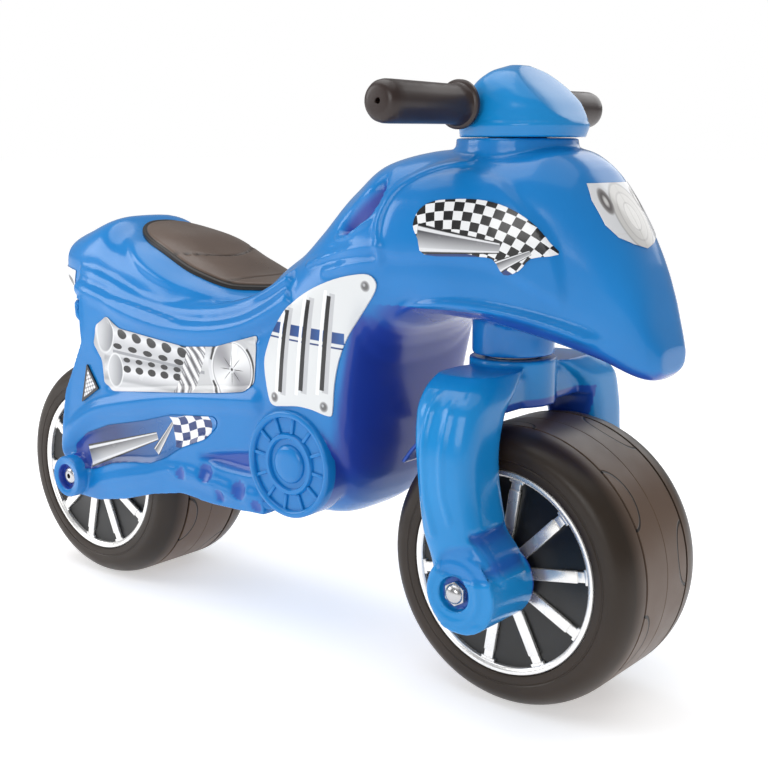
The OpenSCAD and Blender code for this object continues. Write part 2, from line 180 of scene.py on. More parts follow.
# %% The basic moulded finish
def moulded(name, dark, light, rough, spread=0.06, ripple=0.12, grain=700, metal=0.0, coat=0.0,
            gloss=0.5):
    mat = bpy.data.materials.new(name)
    mat.use_nodes = True
    tree = mat.node_tree
    shader = tree.nodes["Principled BSDF"]
    where = tree.nodes.new("ShaderNodeTexCoord").outputs["Object"]
    cloud = noise(tree, where, 9, 3)
    colour = blend(tree, rescale(tree, cloud, 0.35, 0.65, 0, 1), dark, light)
    link(tree, colour, shader.inputs["Base Color"])
    link(tree, rescale(tree, noise(tree, where, 40, 4), 0.3, 0.7, rough - spread, rough + spread),
         shader.inputs["Roughness"])
    bump = tree.nodes.new("ShaderNodeBump")
    bump.inputs["Strength"].default_value = ripple
    bump.inputs["Distance"].default_value = 0.3 * MM
    link(tree, noise(tree, where, grain, 2), bump.inputs["Height"])
    tree.links.new(bump.outputs["Normal"], shader.inputs["Normal"])
    shader.inputs["Metallic"].default_value = metal
    shader.inputs["Specular IOR Level"].default_value = gloss
    shader.inputs["Coat Weight"].default_value = coat
    shader.inputs["Coat Roughness"].default_value = 0.08
    return mat


def wear(obj, mat):
    """Gives a piece or a CAD node its finish."""
    obj.data.materials.clear()
    obj.data.materials.append(mat)


def base_colour(mat):
    """The link that carries a finish's colour, so that a later cell can paint over it."""
    tree = mat.node_tree
    socket = tree.nodes["Principled BSDF"].inputs["Base Color"]
    return tree, socket, socket.links[0].from_socket


# %% Plain finishes
CAP = moulded("cap_black", rgb(0.004, 0.004, 0.004), rgb(0.012, 0.012, 0.012), 0.33)
CHROME = moulded("chrome_trim", rgb(0.80, 0.79, 0.77), rgb(0.92, 0.91, 0.89), 0.27, 0.05, 0.05,
                 500, metal=0.78)
STEEL = moulded("steel", rgb(0.45, 0.45, 0.46), rgb(0.62, 0.62, 0.63), 0.28, 0.08, 0.1, 1200,
                metal=1.0)
GRIP = moulded("grip_plastic", rgb(0.020, 0.010, 0.008), rgb(0.036, 0.020, 0.016), 0.33, grain=1200)
BUSH = moulded("bush_plastic", rgb(0.62, 0.61, 0.57), rgb(0.74, 0.73, 0.70), 0.45)
FLOOR = moulded("pale_floor", rgb(0.86, 0.86, 0.87), rgb(0.90, 0.90, 0.91), 0.75, grain=60)
floor_shader = FLOOR.node_tree.nodes["Principled BSDF"]
floor_shader.inputs["Emission Color"].default_value = rgb(1, 1, 1)
floor_shader.inputs["Emission Strength"].default_value = FLOOR_GLOW
wear(floor, FLOOR)
print("finishes:", len(bpy.data.materials))

# %% [markdown]
# ### Blue plastic
# Painted shade: deep places, recesses and faces turned from the light are painted darker and more
# violet. The relief cells below write a number called shade on each point, and the finish blends
# towards a painted shade colour by it. That is cheaper than rendering the shade, and the number
# stays on the mesh.


# %% Blue plastic
def painted(mat, name, colour):
    """Blends a finish towards a colour where the points carry a number of that name."""
    tree, socket, base = base_colour(mat)
    number = tree.nodes.new("ShaderNodeAttribute")
    number.attribute_name = name
    link(tree, blend(tree, number.outputs["Fac"], base, colour), socket)
    return mat


def blue_plastic(name, dark, light, deep):
    # The deep colour is painted shade, laid where the shade number is high.
    return painted(moulded(name, dark, light, 0.21, 0.04, 0.10, 260, coat=0.16, gloss=0.34),
                   "shade", deep)


# The third colour of each blue is its painted shade colour.
BODY_BLUE = blue_plastic("body_blue", rgb(0.005, 0.180, 0.51), rgb(0.009, 0.205, 0.56),
                         rgb(0.022, 0.048, 0.34))
FORK_BLUE = blue_plastic("fork_blue", rgb(0.005, 0.215, 0.55), rgb(0.009, 0.25, 0.61),
                         rgb(0.018, 0.060, 0.38))
print("blues:", BODY_BLUE.name, FORK_BLUE.name)

# %% [markdown]
# ## Modelling helpers
# Each piece starts as a primitive at its size and place. Edit-mode operators then extrude, spin or
# bevel it, and modifiers finish it. These helpers hold the steps that every piece shares.


# %% Selecting, editing and finishing
def only(obj):
    bpy.ops.object.select_all(action="DESELECT")
    obj.select_set(True)
    bpy.context.view_layer.objects.active = obj


def object_mode():
    bpy.ops.object.mode_set(mode="OBJECT")


def edit_all(obj):
    """Enters edit mode with the whole mesh selected."""
    only(obj)
    bpy.ops.object.mode_set(mode="EDIT")
    bpy.ops.mesh.select_all(action="SELECT")


def close(obj, name):
    """Turns all faces outwards, leaves edit mode and names the piece."""
    bpy.ops.mesh.select_all(action="SELECT")
    bpy.ops.mesh.normals_make_consistent(inside=False)
    object_mode()
    obj.name = obj.data.name = name
    return obj


def pick(obj, kind, test):
    """Selects the points or edges that pass the test, and ends in edit mode."""
    only(obj)
    bpy.ops.object.mode_set(mode="EDIT")
    bpy.ops.mesh.select_mode(type=kind)
    bpy.ops.mesh.select_all(action="DESELECT")
    object_mode()
    for item in obj.data.vertices if kind == "VERT" else obj.data.edges:
        item.select = bool(test(item))
    bpy.ops.object.mode_set(mode="EDIT")


# %% Modifiers, copies and finishing
def modify(obj, kind, **settings):
    """Adds a modifier, sets it and applies it."""
    only(obj)
    modifier = obj.modifiers.new(kind.lower(), kind)
    for key, value in settings.items():
        setattr(modifier, key, value)
    bpy.ops.object.modifier_apply(modifier=modifier.name)


def cut(obj, cutter, operation="DIFFERENCE", **settings):
    modify(obj, "BOOLEAN", operation=operation, object=cutter, solver="EXACT", **settings)
    bpy.data.objects.remove(cutter)


def twin(obj):
    """A copy of a piece, with its own mesh."""
    copy = obj.copy()
    copy.data = obj.data.copy()
    bpy.context.scene.collection.objects.link(copy)
    return copy


def join(parts, name):
    bpy.ops.object.select_all(action="DESELECT")
    for part in parts:
        part.select_set(True)
    bpy.context.view_layer.objects.active = parts[0]
    bpy.ops.object.join()
    parts[0].name = parts[0].data.name = name
    return parts[0]


def places(obj):
    flat = np.empty(len(obj.data.vertices) * 3)
    obj.data.vertices.foreach_get("co", flat)
    return flat.reshape(-1, 3)


def place(obj, points):
    obj.data.vertices.foreach_set("co", points.ravel())
    obj.data.update()


def paint(obj, name, values):
    """Writes a number on each point, for a finish to read."""
    layer = obj.data.attributes.get(name) or obj.data.attributes.new(name, "FLOAT", "POINT")
    layer.data.foreach_set("value", np.asarray(values, np.float32))


def dress(obj, mat, body, node, slot_name, crease=None):
    """Smooths a piece, gives it its finish, and sets it on its body in place of a CAD node."""
    only(obj)
    if crease:
        bpy.ops.object.shade_smooth_by_angle(angle=math.radians(crease))
    else:
        bpy.ops.object.shade_smooth()
    wear(obj, mat)
    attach(obj, body)
    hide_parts(node)

# %% [markdown]
# ### Lines by numbers
# A moulding's outline runs smoothly through a few measured points. Working it out with numpy moves
# a hundred thousand points at once, where a loop over each of them would take minutes.


# %% Smooth lines and distances
def along(points, x):
    """Value at x of the smooth line through the points, which never overshoots them."""
    px, py = np.array(points, float).T
    chord = np.diff(py) / np.diff(px)
    before, after = chord[:-1], chord[1:]
    both = np.where(before * after > 0, before + after, 1)
    slope = np.concatenate([chord[:1], np.where(before * after > 0, 2 * before * after / both, 0),
                            chord[-1:]])
    i = np.clip(np.searchsorted(px, x, side="right") - 1, 0, len(px) - 2)
    run = px[i + 1] - px[i]
    t = np.clip((x - px[i]) / run, 0, 1)
    u = 1 - t
    return (py[i] * (1 + 2 * t) * u * u + slope[i] * run * t * u * u
            + py[i + 1] * t * t * (3 - 2 * t) - slope[i + 1] * run * t * t * u)


def bulge(value, squareness):
    return np.sign(value) * np.abs(value) ** (2 / squareness)


def rounded(path, closed=False, steps=6):
    """A smooth run of points through the few points of a path."""
    p = np.array(path, float)
    count = len(p) if closed else len(p) - 1
    out = []
    for i in range(count):
        ends = [p[(i + k) % len(p)] if closed else p[min(max(i + k, 0), len(p) - 1)]
                for k in (-1, 0, 1, 2)]
        for t in np.arange(steps) / steps:
            a, b, c, d = ends
            out.append(0.5 * (2 * b + (c - a) * t + (2 * a - 5 * b + 4 * c - d) * t * t
                              + (3 * b - a - 3 * c + d) * t ** 3))
    if not closed:
        out.append(p[-1])
    return np.array(out)


# %% Distances from paths and outlines
def distance(path, spots, closed=False):
    """Distance from each spot to a path, both given as (x, z)."""
    ends = np.roll(path, -1, axis=0) if closed else path[1:]
    nearest = np.full(len(spots), 1e9)
    for a, b in zip(path, ends):
        span = b - a
        t = np.clip(((spots - a) @ span) / max(span @ span, 1e-9), 0, 1)
        nearest = np.minimum(nearest, np.hypot(*(spots - a - t[:, None] * span).T))
    return nearest


def inside(outline, spots):
    """True for each spot that lies inside a closed outline."""
    x, z = spots.T
    odd = np.zeros(len(spots), bool)
    for (ax, az), (bx, bz) in zip(outline, np.roll(outline, -1, axis=0)):
        crosses = (az > z) != (bz > z)
        where = ax + (z - az) / (bz - az if bz != az else 1e-9) * (bx - ax)
        odd ^= crosses & (x < where)
    return odd


def ease(value, low, high):
    t = np.clip((value - low) / (high - low), 0, 1)
    return t * t * (3 - 2 * t)


# %% Turned, flat and tubular starts
def turned(name, profile, x, z=None, steps=96, side=1, upright=False):
    """Spins a closed profile of (radius, height) round an axis along Y, or along Z if upright."""
    z = AXLE_Z if z is None else z
    bpy.ops.mesh.primitive_circle_add(vertices=len(profile), radius=1, fill_type="NOTHING")
    obj = bpy.context.object
    for vertex, (radius, height) in zip(obj.data.vertices, profile):
        across, up = (0, z + height) if upright else (side * height, z)
        vertex.co = ((x + radius) * MM, across * MM, up * MM)
    edit_all(obj)
    bpy.ops.mesh.spin(steps=steps, angle=2 * math.pi, center=(x * MM, 0, z * MM),
                      axis=(0, 0, 1) if upright else (0, 1, 0))
    bpy.ops.mesh.select_all(action="SELECT")
    bpy.ops.mesh.remove_doubles(threshold=0.01 * MM)
    return close(obj, name)


def plate(name, outline, y_in, y_out, side=-1, corner=0.0):
    """A flat outline of (x, z), extruded from y_in to y_out on one side of the bike."""
    bpy.ops.mesh.primitive_circle_add(vertices=len(outline), radius=1, fill_type="NGON")
    obj = bpy.context.object
    for vertex, (x, z) in zip(obj.data.vertices, outline):
        vertex.co = (x * MM, side * y_in * MM, z * MM)
    edit_all(obj)
    bpy.ops.mesh.extrude_region_move(
        TRANSFORM_OT_translate={"value": (0, side * (y_out - y_in) * MM, 0)})
    close(obj, name)
    if corner:
        deep = abs(y_out - y_in) * MM * 0.9
        pick(obj, "EDGE", lambda e: abs((obj.data.vertices[e.vertices[0]].co
                                         - obj.data.vertices[e.vertices[1]].co).y) > deep)
        bpy.ops.mesh.bevel(offset=corner * MM, segments=4, affect="EDGES")
        object_mode()
    return obj


# %% Lofted tubes and the remesh
def tube(name, low, high, rings, sides, section):
    """A cylinder cut into rings, each of which is then moved to section(how far along, angle)."""
    bpy.ops.mesh.primitive_cylinder_add(vertices=sides, radius=1, depth=2, end_fill_type="TRIFAN")
    obj = bpy.context.object
    heights = [v.co.z for v in obj.data.vertices]
    pick(obj, "EDGE", lambda e: abs(heights[e.vertices[0]] - heights[e.vertices[1]]) > 1)
    bpy.ops.mesh.subdivide(number_cuts=rings)
    object_mode()
    p = places(obj)
    far = low + (high - low) * (p[:, 2] + 1) / 2
    reach = np.hypot(p[:, 0], p[:, 1])
    place(obj, section(far, np.arctan2(p[:, 1], p[:, 0]), reach) * MM)
    edit_all(obj)
    return close(obj, name)


def fuse(parts, name, voxel, smooth):
    """Joins overlapping closed parts into one even skin, the way a mould blends them."""
    obj = join(parts, name)
    obj.data.remesh_voxel_size = voxel * MM
    only(obj)
    bpy.ops.object.voxel_remesh()
    modify(obj, "SMOOTH", factor=0.5, iterations=smooth)
    return obj


# %% [markdown]
# ## Body skin
# The real body is one hollow blow moulding: a trunk that is tail, seat and tank in one, two cheeks
# that hold the rear axle, and a neck. It could be sculpted, but a loft along measured lines keeps
# its shape. The trunk is a cylinder cut into a hundred rings, each moved to a squarish section. The
# cheeks are flat outlines, extruded. A voxel remesh then melts them together and rounds every
# corner, as a mould does.

# %% Trunk
TOP = [[-286, 318], [-276, 335], [-250, 346], [-215, 357], [-190, 346], [-140, 335], [-95, 317],
       [-50, 303], [-10, 301], [6, 322], [38, 344], [62, 366], [90, 394], [120, 412], [165, 420],
       [255, 421], [277, 411], [291, 396], [307, 374], [321, 350], [331, 326], [338, 300],
       [346, 280]]
BOTTOM = [[-286, 300], [-276, 284], [-250, 266], [-200, 240], [-124, 234], [-112, 130], [-95, 114],
          [0, 110], [60, 113], [84, 124], [101, 155], [110, 205], [121, 258], [143, 284],
          [170, 294],
          [210, 292], [250, 284], [300, 270], [335, 258], [342, 259], [346, 266]]
WAIST = [[-286, 310], [-250, 305], [-150, 285], [-90, 250], [0, 220], [90, 250], [130, 335],
         [250, 330], [310, 305], [346, 274]]
WIDTH = [[-286, 42], [-272, 56], [-230, 66], [-120, 72], [0, 79], [60, 84], [120, 84], [180, 83],
         [240, 72], [290, 52], [325, 36], [341, 26], [346, 18]]


def trunk_section(x, angle, reach):
    across, up = np.cos(angle), np.sin(angle)
    waist = along(WAIST, x)
    height = np.where(up > 0, along(TOP, x) - waist, waist - along(BOTTOM, x))
    return np.stack([x, reach * along(WIDTH, x) * bulge(across, 3),
                     waist + reach * height * bulge(up, 3)], 1)


trunk = tube("trunk", -285, 345, 99, 96, trunk_section)
HANDLE = [[34, 336], [70, 343], [110, 354], [138, 370], [150, 392], [150, 436], [122, 436],
          [120, 402], [106, 388], [94, 388], [82, 420], [30, 420]]
HANDLE_HALF = 26
cut(trunk, plate("handle_cutter", HANDLE, -HANDLE_HALF, HANDLE_HALF))
print("trunk faces:", len(trunk.data.polygons))

# %% Cheeks, neck and collar
CHEEK = [[-258, 118], [-260, 152], [-252, 190], [-226, 240], [-226, 284], [-180, 286], [-80, 270],
         [10, 262], [14, 212], [14, 114], [-50, 112], [-90, 115], [-130, 107], [-170, 95],
         [-210, 87], [-236, 87]]
CHEEK_IN, CHEEK_OUT = 64, 80
ENGINE = (49, 166)
ENGINE_R = 45
parts = [trunk]
for side in SIDES.values():
    parts.append(plate("cheek", CHEEK, CHEEK_IN, CHEEK_OUT, side))
    disc = [(0, 60), (ENGINE_R, 60), (ENGINE_R, 84), (0, 84)]
    parts.append(turned("engine", disc, *ENGINE, steps=48, side=side))
    boss = [(0, CHEEK_IN), (20, CHEEK_IN), (20, 86), (0, 86)]
    parts.append(turned("boss", boss, REAR_X, steps=48, side=side))
for name, radius, low, high in [("neck", 32, 265, 330), ("collar", 46, 380, 428)]:
    parts.append(turned(name, [(0, low), (radius, low), (radius, high), (0, high)],
                        STEER_X, 0, 48, upright=True))
print("body parts:", len(parts))


# %% [markdown]
# ### Beads under the skin
# The finger hollow behind the tank has a thin rolled rim, and a soft ridge runs below the seat. A
# curve with a round bevel follows each line and becomes a mesh, so that the remesh can blend it in.


# %% Rim of the finger hollow, and the seat ridge
def bead(name, path, radius, closed=False):
    """A round bead that follows a path of (x, y, z)."""
    curve = bpy.data.curves.new(name, "CURVE")
    curve.dimensions = "3D"
    curve.bevel_depth = radius * MM
    curve.bevel_resolution = 4
    curve.use_fill_caps = True
    points = rounded(path, closed)
    spline = curve.splines.new("POLY")
    spline.points.add(len(points) - 1)
    for target, (x, y, z) in zip(spline.points, points):
        target.co = (x * MM, y * MM, z * MM, 1)
    spline.use_cyclic_u = closed
    obj = bpy.data.objects.new(name, curve)
    bpy.context.scene.collection.objects.link(obj)
    only(obj)
    bpy.ops.object.convert(target="MESH")
    return bpy.context.object


HALF_RIM = [(36, 0, 341), (39, 17, 343), (52, 27, 354), (72, 30, 373), (88, 26, 390), (97, 12, 399)]
other_half = [(x, -y, z) for x, y, z in reversed(HALF_RIM[1:])]
parts.append(bead("hollow_rim", HALF_RIM + [(99, 0, 401)] + other_half, 3.2, True))
RIDGE = [(-238, 66, 290), (-215, 71, 286), (-192, 72, 281), (-172, 73, 275), (-152, 73, 270),
         (-122, 73, 265), (-92, 73, 263), (-62, 73, 264), (-32, 73, 268), (-2, 73, 276),
         (24, 73, 288),
         (46, 72, 302)]
for side in SIDES.values():
    parts.append(bead("seat_ridge", [(x, side * y, z) for x, y, z in RIDGE], 10))
    parts.append(bead("upper_ridge", [(x, side * (y - 9), z + 13) for x, y, z in RIDGE], 12))
body_skin = fuse(parts, "body_skin", 2.3, 4)
print("body skin faces:", len(body_skin.data.polygons))

# %% [markdown]
# ## Moulded relief
# The flanks carry ribs, a swingarm with a sunk panel, dimples and rolled rims. Modelled as separate
# parts they would meet the body in hard lines. Here each is a path or an outline on the flank, and
# the points of the fine skin move out or in by their distance from it, so every edge is soft.


# %% Relief of the flanks
class Relief:
    """Moves the points of a skin outwards along Y, by where they lie seen from the side."""

    def __init__(self, obj, reach, facing=0.2):
        self.obj = obj
        self.points = places(obj) / MM
        self.side = np.sign(self.points[:, 1])
        self.out = np.abs(self.points[:, 1])
        turn = ease(self.normals()[:, 1] * self.side, facing, facing + 0.35)
        self.weight = turn * ease(self.out, reach, reach + 6)
        self.spots = self.points[:, [0, 2]]
        self.shade = np.zeros(len(self.out))

    def normals(self):
        flat = np.empty(len(self.obj.data.vertices) * 3)
        self.obj.data.vertex_normals.foreach_get("vector", flat)
        return flat.reshape(-1, 3)

    def rib(self, path, half, lift):
        far = distance(rounded(path), self.spots) / half
        self.out += self.weight * lift * np.clip(1 - far * far, 0, 1) ** 2

    def band(self, path, half, top, drop=5):
        """Raises the flank to a rounded band whose crest stands at top from the middle plane."""
        far = distance(rounded(path), self.spots) / half
        over = top - drop * far * far - self.out
        gain = np.where(over > 2, over, np.clip(over + 2, 0, None) ** 2 / 8)
        self.out += self.weight * gain * (far < 1.6)

    def panel(self, outline, depth, soft, shade=0.0):
        edge = rounded(outline, True, 3)
        far = distance(edge, self.spots, True) * inside(edge, self.spots)
        amount = ease(far, 0, soft)
        self.out -= self.weight * depth * amount
        # Painted shade: the sunk panel is darkened by its shade amount.
        self.darken(self.weight * shade * amount)

    def dimple(self, x, z, radius, depth):
        far = np.hypot(*(self.spots - (x, z)).T) / radius
        dip = np.clip(1 - far * far, 0, 1)
        self.out -= self.weight * depth * np.sqrt(dip)
        # Painted shade: the inside of the dimple is darkened.
        self.darken(self.weight * 0.7 * (dip > 0.15))

    # Painted shade: keeps the darkest shade number asked for at each point.
    def darken(self, values):
        self.shade = np.maximum(self.shade, values)

    def finish(self):
        self.points[:, 1] = self.side * self.out
        place(self.obj, self.points * MM)
        paint(self.obj, "shade", self.shade)


relief = Relief(body_skin, 40)
relief.rib([(-192, 347), (-176, 336), (-158, 323), (-138, 313), (-108, 303), (-78, 298), (-48, 296),
            (-18, 299), (12, 306), (38, 318)], 8, 3.0)
relief.band([(-228, 276), (-228, 250), (-238, 225), (-250, 200), (-256, 170), (-258, 140)], 8, 82)
relief.band([(-258, 132), (-243, 152), (-222, 167), (-197, 178), (-147, 190), (-97, 200),
             (-47, 206),
             (6, 211)], 11, 84.5)
relief.band([(-250, 94), (-215, 101), (-178, 112), (-147, 120), (-127, 125), (-102, 133),
             (-70, 134),
             (-30, 129), (5, 127)], 12, 83)
print("bands laid on the flanks")

# %% Sunk panels, dimples and rims
EXHAUST = [(-206, 240), (-202, 258), (-186, 268), (-168, 258), (-80, 250), (-40, 254), (8, 268),
           (6, 228), (-6, 219), (-40, 214), (-180, 198), (-192, 204), (-194, 226)]
SWINGARM = [(-240, 118), (-240, 138), (-222, 152), (-190, 164), (-140, 175), (-100, 186),
            (-44, 192),
            (-41, 184), (-57, 170), (-88, 158), (-110, 145), (-130, 137), (-160, 133), (-185, 128),
            (-215, 117)]
WEDGE = [(-64, 157), (-30, 165), (3, 168), (6, 148), (-25, 146), (-62, 150)]
FAIRING = [(150, 340), (147, 365), (156, 388), (176, 402), (210, 408), (238, 400), (256, 384),
           (275, 364), (284, 342), (287, 312), (270, 318), (253, 329), (235, 338), (200, 341)]
relief.panel(EXHAUST, 2.2, 4)
# The swingarm panel and the wedge are darkened inside with painted shade.
relief.panel(SWINGARM, 3.5, 5, 0.35)
relief.panel(WEDGE, 6, 6, 0.8)
relief.panel(FAIRING, -3.0, 4)
for x, z, radius, depth in [(-57, 140, 9, 3.5), (-15, 131, 9, 3.5), (-88, 134, 6, 2.5),
                            (-39, 122, 6, 2.5), (6, 121, 6, 2.5)]:
    relief.dimple(x, z, radius, depth)
relief.rib([(92, 130), (104, 160), (111, 205), (117, 235), (126, 262), (146, 288), (172, 303),
            (210, 308), (250, 304), (290, 293), (320, 280), (342, 275)], 7, 7.0)
relief.rib([(146, 342), (143, 365), (152, 388), (166, 400), (186, 409), (205, 412)], 5, 5.0)
relief.rib([(60, 330), (85, 338), (115, 345), (145, 349)], 4, 2.6)
relief.rib([(85, 326), (115, 333), (145, 337)], 4, 2.6)

# %% [markdown]
# ### Deep places
# Under the tank the skin turns into a deep scoop and a belly, and the flank has a finger hollow
# that ends in a rolled rim. The scoop, where the skin faces forward, the belly, where it faces
# down, and the hollow are darkened with painted shade. The hollow is pressed in along the normals,
# because a push straight along Y would stretch the faces of its steep back wall.

# %% Scoop, belly and finger hollow
facing = relief.normals()
x, z = relief.spots.T
# Painted shade on the forward-facing scoop and the downward-facing belly.
scoop = ease(facing[:, 0], 0.1, 0.75) * (x > 70) * (x < 200)
scoop *= ease(z, 100, 170) * (1 - ease(z, 290, 304))
relief.darken(0.95 * scoop)
belly = ease(-facing[:, 2], 0.3, 0.8) * (x > 120) * (z > 255) * (z < 304)
relief.darken(0.8 * belly)
HOLLOW_RIM = [(94, 353), (108, 356), (117, 361), (131, 369), (138, 377), (142, 387), (142, 398),
              (140, 406)]
HOLLOW_DEPTH = 11
HOLLOW_BACK = [(94, 353), (92, 361), (99, 372), (113, 383), (126, 391), (134, 399), (140, 406)]
rim_path, back_path = rounded(HOLLOW_RIM), rounded(HOLLOW_BACK)
in_hollow = inside(np.concatenate([rim_path, back_path[::-1]]), relief.spots) & (relief.out > 20)
deep = in_hollow * ease(distance(rim_path, relief.spots), 0, 3.5) \
    * ease(distance(back_path, relief.spots), -1, 12)
relief.rib(HOLLOW_RIM, 4, 2.6)
# Painted shade inside the finger hollow.
relief.darken(0.95 * ease(deep, 0.1, 0.6))
relief.finish()
place(body_skin, places(body_skin) - facing * (HOLLOW_DEPTH * MM * deep)[:, None])
modify(body_skin, "SMOOTH", factor=0.5, iterations=5)
plain_skin = twin(body_skin)
print("deepest shade:", relief.shade.max())

# %% [markdown]
# ## Engine cover and axle boss
# These two have crisp round steps, which a remesh would soften. Each is a section spun round its
# own axis. The twelve ribs of the engine cover are one bar, copied round, and all of it is then
# joined to the body.

# %% Engine cover
COVER = [(0, 78), (ENGINE_R, 78), (ENGINE_R, 86), (44, 87.5), (42, 88), (40, 87.5), (39, 86),
         (38.5, 83.5), (27, 83), (26, 85.5), (25, 87), (22, 87), (21, 85.5), (20.5, 83), (17, 82.5),
         (16, 85), (15, 86.5), (12, 87.5), (6, 88), (0, 88)]


def rounded_off(obj, name, bevel):
    """Puts a primitive's place into its mesh, and rounds all its edges."""
    only(obj)
    bpy.ops.object.transform_apply(location=True, rotation=True, scale=True)
    edit_all(obj)
    bpy.ops.mesh.bevel(offset=bevel * MM, segments=2, affect="EDGES")
    return close(obj, name)


def bar(name, low, high, bevel):
    """A block between two corners, with its edges rounded."""
    low, high = Vector(low) * MM, Vector(high) * MM
    bpy.ops.mesh.primitive_cube_add(size=1, location=(low + high) / 2)
    obj = bpy.context.object
    obj.scale = high - low
    return rounded_off(obj, name, bevel)


def turn_about(obj, x, z, degrees):
    """Turns a mesh about an axis along Y, clockwise as seen from the rider's right."""
    angle = math.radians(degrees)
    p = places(obj) - (x * MM, 0, z * MM)
    turned_x = p[:, 0] * math.cos(angle) + p[:, 2] * math.sin(angle)
    turned_z = -p[:, 0] * math.sin(angle) + p[:, 2] * math.cos(angle)
    place(obj, np.stack([turned_x, p[:, 1], turned_z], 1) + (x * MM, 0, z * MM))


def copies_round(obj, x, z, count, first=0.0):
    """Copies of a mesh at equal steps round an axis, each with its own mesh."""
    made = []
    for i in range(count):
        made.append(twin(obj))
        turn_about(made[-1], x, z, first + i * 360 / count)
    bpy.data.objects.remove(obj)
    return made


def engine_cover(side):
    face = turned("engine_cover", COVER, *ENGINE, side=side)
    ends = sorted([side * 82, side * 86])
    rib = bar("cover_rib", (ENGINE[0] - 1.6, ends[0], ENGINE[1] + 26),
              (ENGINE[0] + 1.6, ends[1], ENGINE[1] + 39.5), 0.8)
    whole = join([face] + copies_round(rib, *ENGINE, 12, 8), "engine_cover")
    p = places(whole) / MM
    radius = np.hypot(p[:, 0] - ENGINE[0], p[:, 2] - ENGINE[1])
    cells = (np.abs(p[:, 1]) < 84) & (radius < 40)
    # Painted shade: the sunk face between the ribs is darkened.
    paint(whole, "shade", 0.45 * cells)
    return whole


BOSS = [(0, 78), (20, 78), (20, 92.5), (19, 94), (13, 94), (12, 93), (12, 88.1), (0, 88.1)]


def axle_boss(side):
    whole = turned("axle_boss", BOSS, REAR_X, steps=64, side=side)
    p = places(whole) / MM
    radius = np.hypot(p[:, 0] - REAR_X, p[:, 2] - AXLE_Z)
    # Painted shade: the hole inside the boss is darkened.
    paint(whole, "shade", 0.95 * ((radius < 12.5) & (np.abs(p[:, 1]) < 93.5)))
    return whole


moulded_on = [make(side) for side in SIDES.values() for make in (engine_cover, axle_boss)]
body_skin = join([body_skin] + moulded_on, "body_skin")
dress(body_skin, BODY_BLUE, "body", "body_shell", "blue_plastic", 50)
print("body skin faces:", len(body_skin.data.polygons))

# %% [markdown]
# ## Seat pad
# The pad is a hard glossy plate that follows the hollow of the seat. It has a dark stepped edge and
# two seams that bow backward. A cylinder's rings are laid from the middle of its underside out to
# the rim, up over the step, and back to the middle of its top, so one mesh holds the whole section.


# %% Saddle
def seat_height(x, y):
    waist = along(WAIST, x)
    across = np.clip(np.abs(y) / along(WIDTH, x), 0, 0.999)
    return waist + (along(TOP, x) - waist) * (1 - across ** 3) ** (1 / 3)


PAD_X, PAD_HALF = -97, 101
RADIUS = [(0, 0.02), (0.16, 0.97), (0.18, 1.0), (0.24, 1.0), (0.27, 0.985), (0.30, 0.955),
          (0.33, 0.945), (0.36, 0.925), (1, 0.02)]
HEIGHT = [(0, 0.2), (0.16, 0.2), (0.18, 0.4), (0.24, 2.8), (0.27, 3.6), (0.30, 3.5), (0.33, 5.0),
          (0.36, 5.7), (1, 6.0)]
SEAMS = [(-98, 26), (-48, 18)]


def from_seams(x, y):
    """Distance from each seam, which bows back towards the sides."""
    return [np.abs(x - (middle_x - bow * (y / 50) ** 2)) for middle_x, bow in SEAMS]


def pad_section(far, angle, reach):
    radius = reach * along(RADIUS, far)
    x = PAD_X + PAD_HALF * radius * np.cos(angle)
    y = radius * (51 - 9 * np.cos(angle)) * bulge(np.sin(angle), 2.6)
    z = seat_height(x, y) + along(HEIGHT, far)
    for off in from_seams(x, y):
        z -= 1.5 * np.exp(-(off / 1.2) ** 2) * (far > 0.34)
    return np.stack([x, y, z], 1)


saddle = tube("saddle", 0, 1, 99, 160, pad_section)
SEAT = moulded("seat_plastic", rgb(0.080, 0.052, 0.038), rgb(0.120, 0.082, 0.062), 0.33,
               grain=1500, gloss=0.35)
# The rim number darkens the pad's outer wall below the step, and its seam grooves as painted shade.
painted(SEAT, "rim", rgb(0.010, 0.008, 0.007))
p = places(saddle) / MM
edge_height = p[:, 2] - seat_height(p[:, 0], p[:, 1])
dark_wall_and_seam_shade = 1 - ease(edge_height, 3.7, 4.8)
# Painted shade: the seam grooves are darkened too.
for off in from_seams(p[:, 0], p[:, 1]):
    dark_wall_and_seam_shade = np.maximum(dark_wall_and_seam_shade, 0.9 * np.exp(-(off / 1.1) ** 2))
paint(saddle, "rim", dark_wall_and_seam_shade)
dress(saddle, SEAT, "body", "seat_pad", "seat_plastic", 50)
print("saddle faces:", len(saddle.data.polygons))

# %% [markdown]
# ## Fork
# The fork is a second blow moulding: two fluted legs, round lobes at the axle, a crown with a
# collar and a stub of mudguard. The legs are lofted like the trunk, the rest are turned parts and
# a block. A first remesh makes one skin, the wheel arch and the recesses of the nuts are cut out of
# it, and a second remesh with the mudguard rounds the cut edges.

# %% Fork skin
LEG_REAR = [(108, 216), (128, 212), (150, 205), (200, 198), (240, 192), (258, 190)]
LEG_FRONT = [(108, 274), (128, 272), (150, 256), (200, 248), (240, 248), (258, 240)]
LEG_INNER = [(108, 64), (200, 64), (232, 56), (258, 20)]
LEG_OUTER = [(108, 116), (150, 118), (200, 117), (235, 110), (250, 98), (260, 76)]
LOBE_X, LOBE_R, LEG_Y, LEG_GAP, ARCH_R = FRONT_X + 5, 29, 118, 64, 119
CROWN_Z, CROWN_TOP, COLLAR_R, COLLAR_Z = 224, 258, 34, 262.5
NUT_FLOOR, RECESS_R = 112, 13
GUARD_IN, GUARD_OUT, GUARD_HALF, GUARD_START, GUARD_SPAN = 119.2, 122, 50, 80, 46


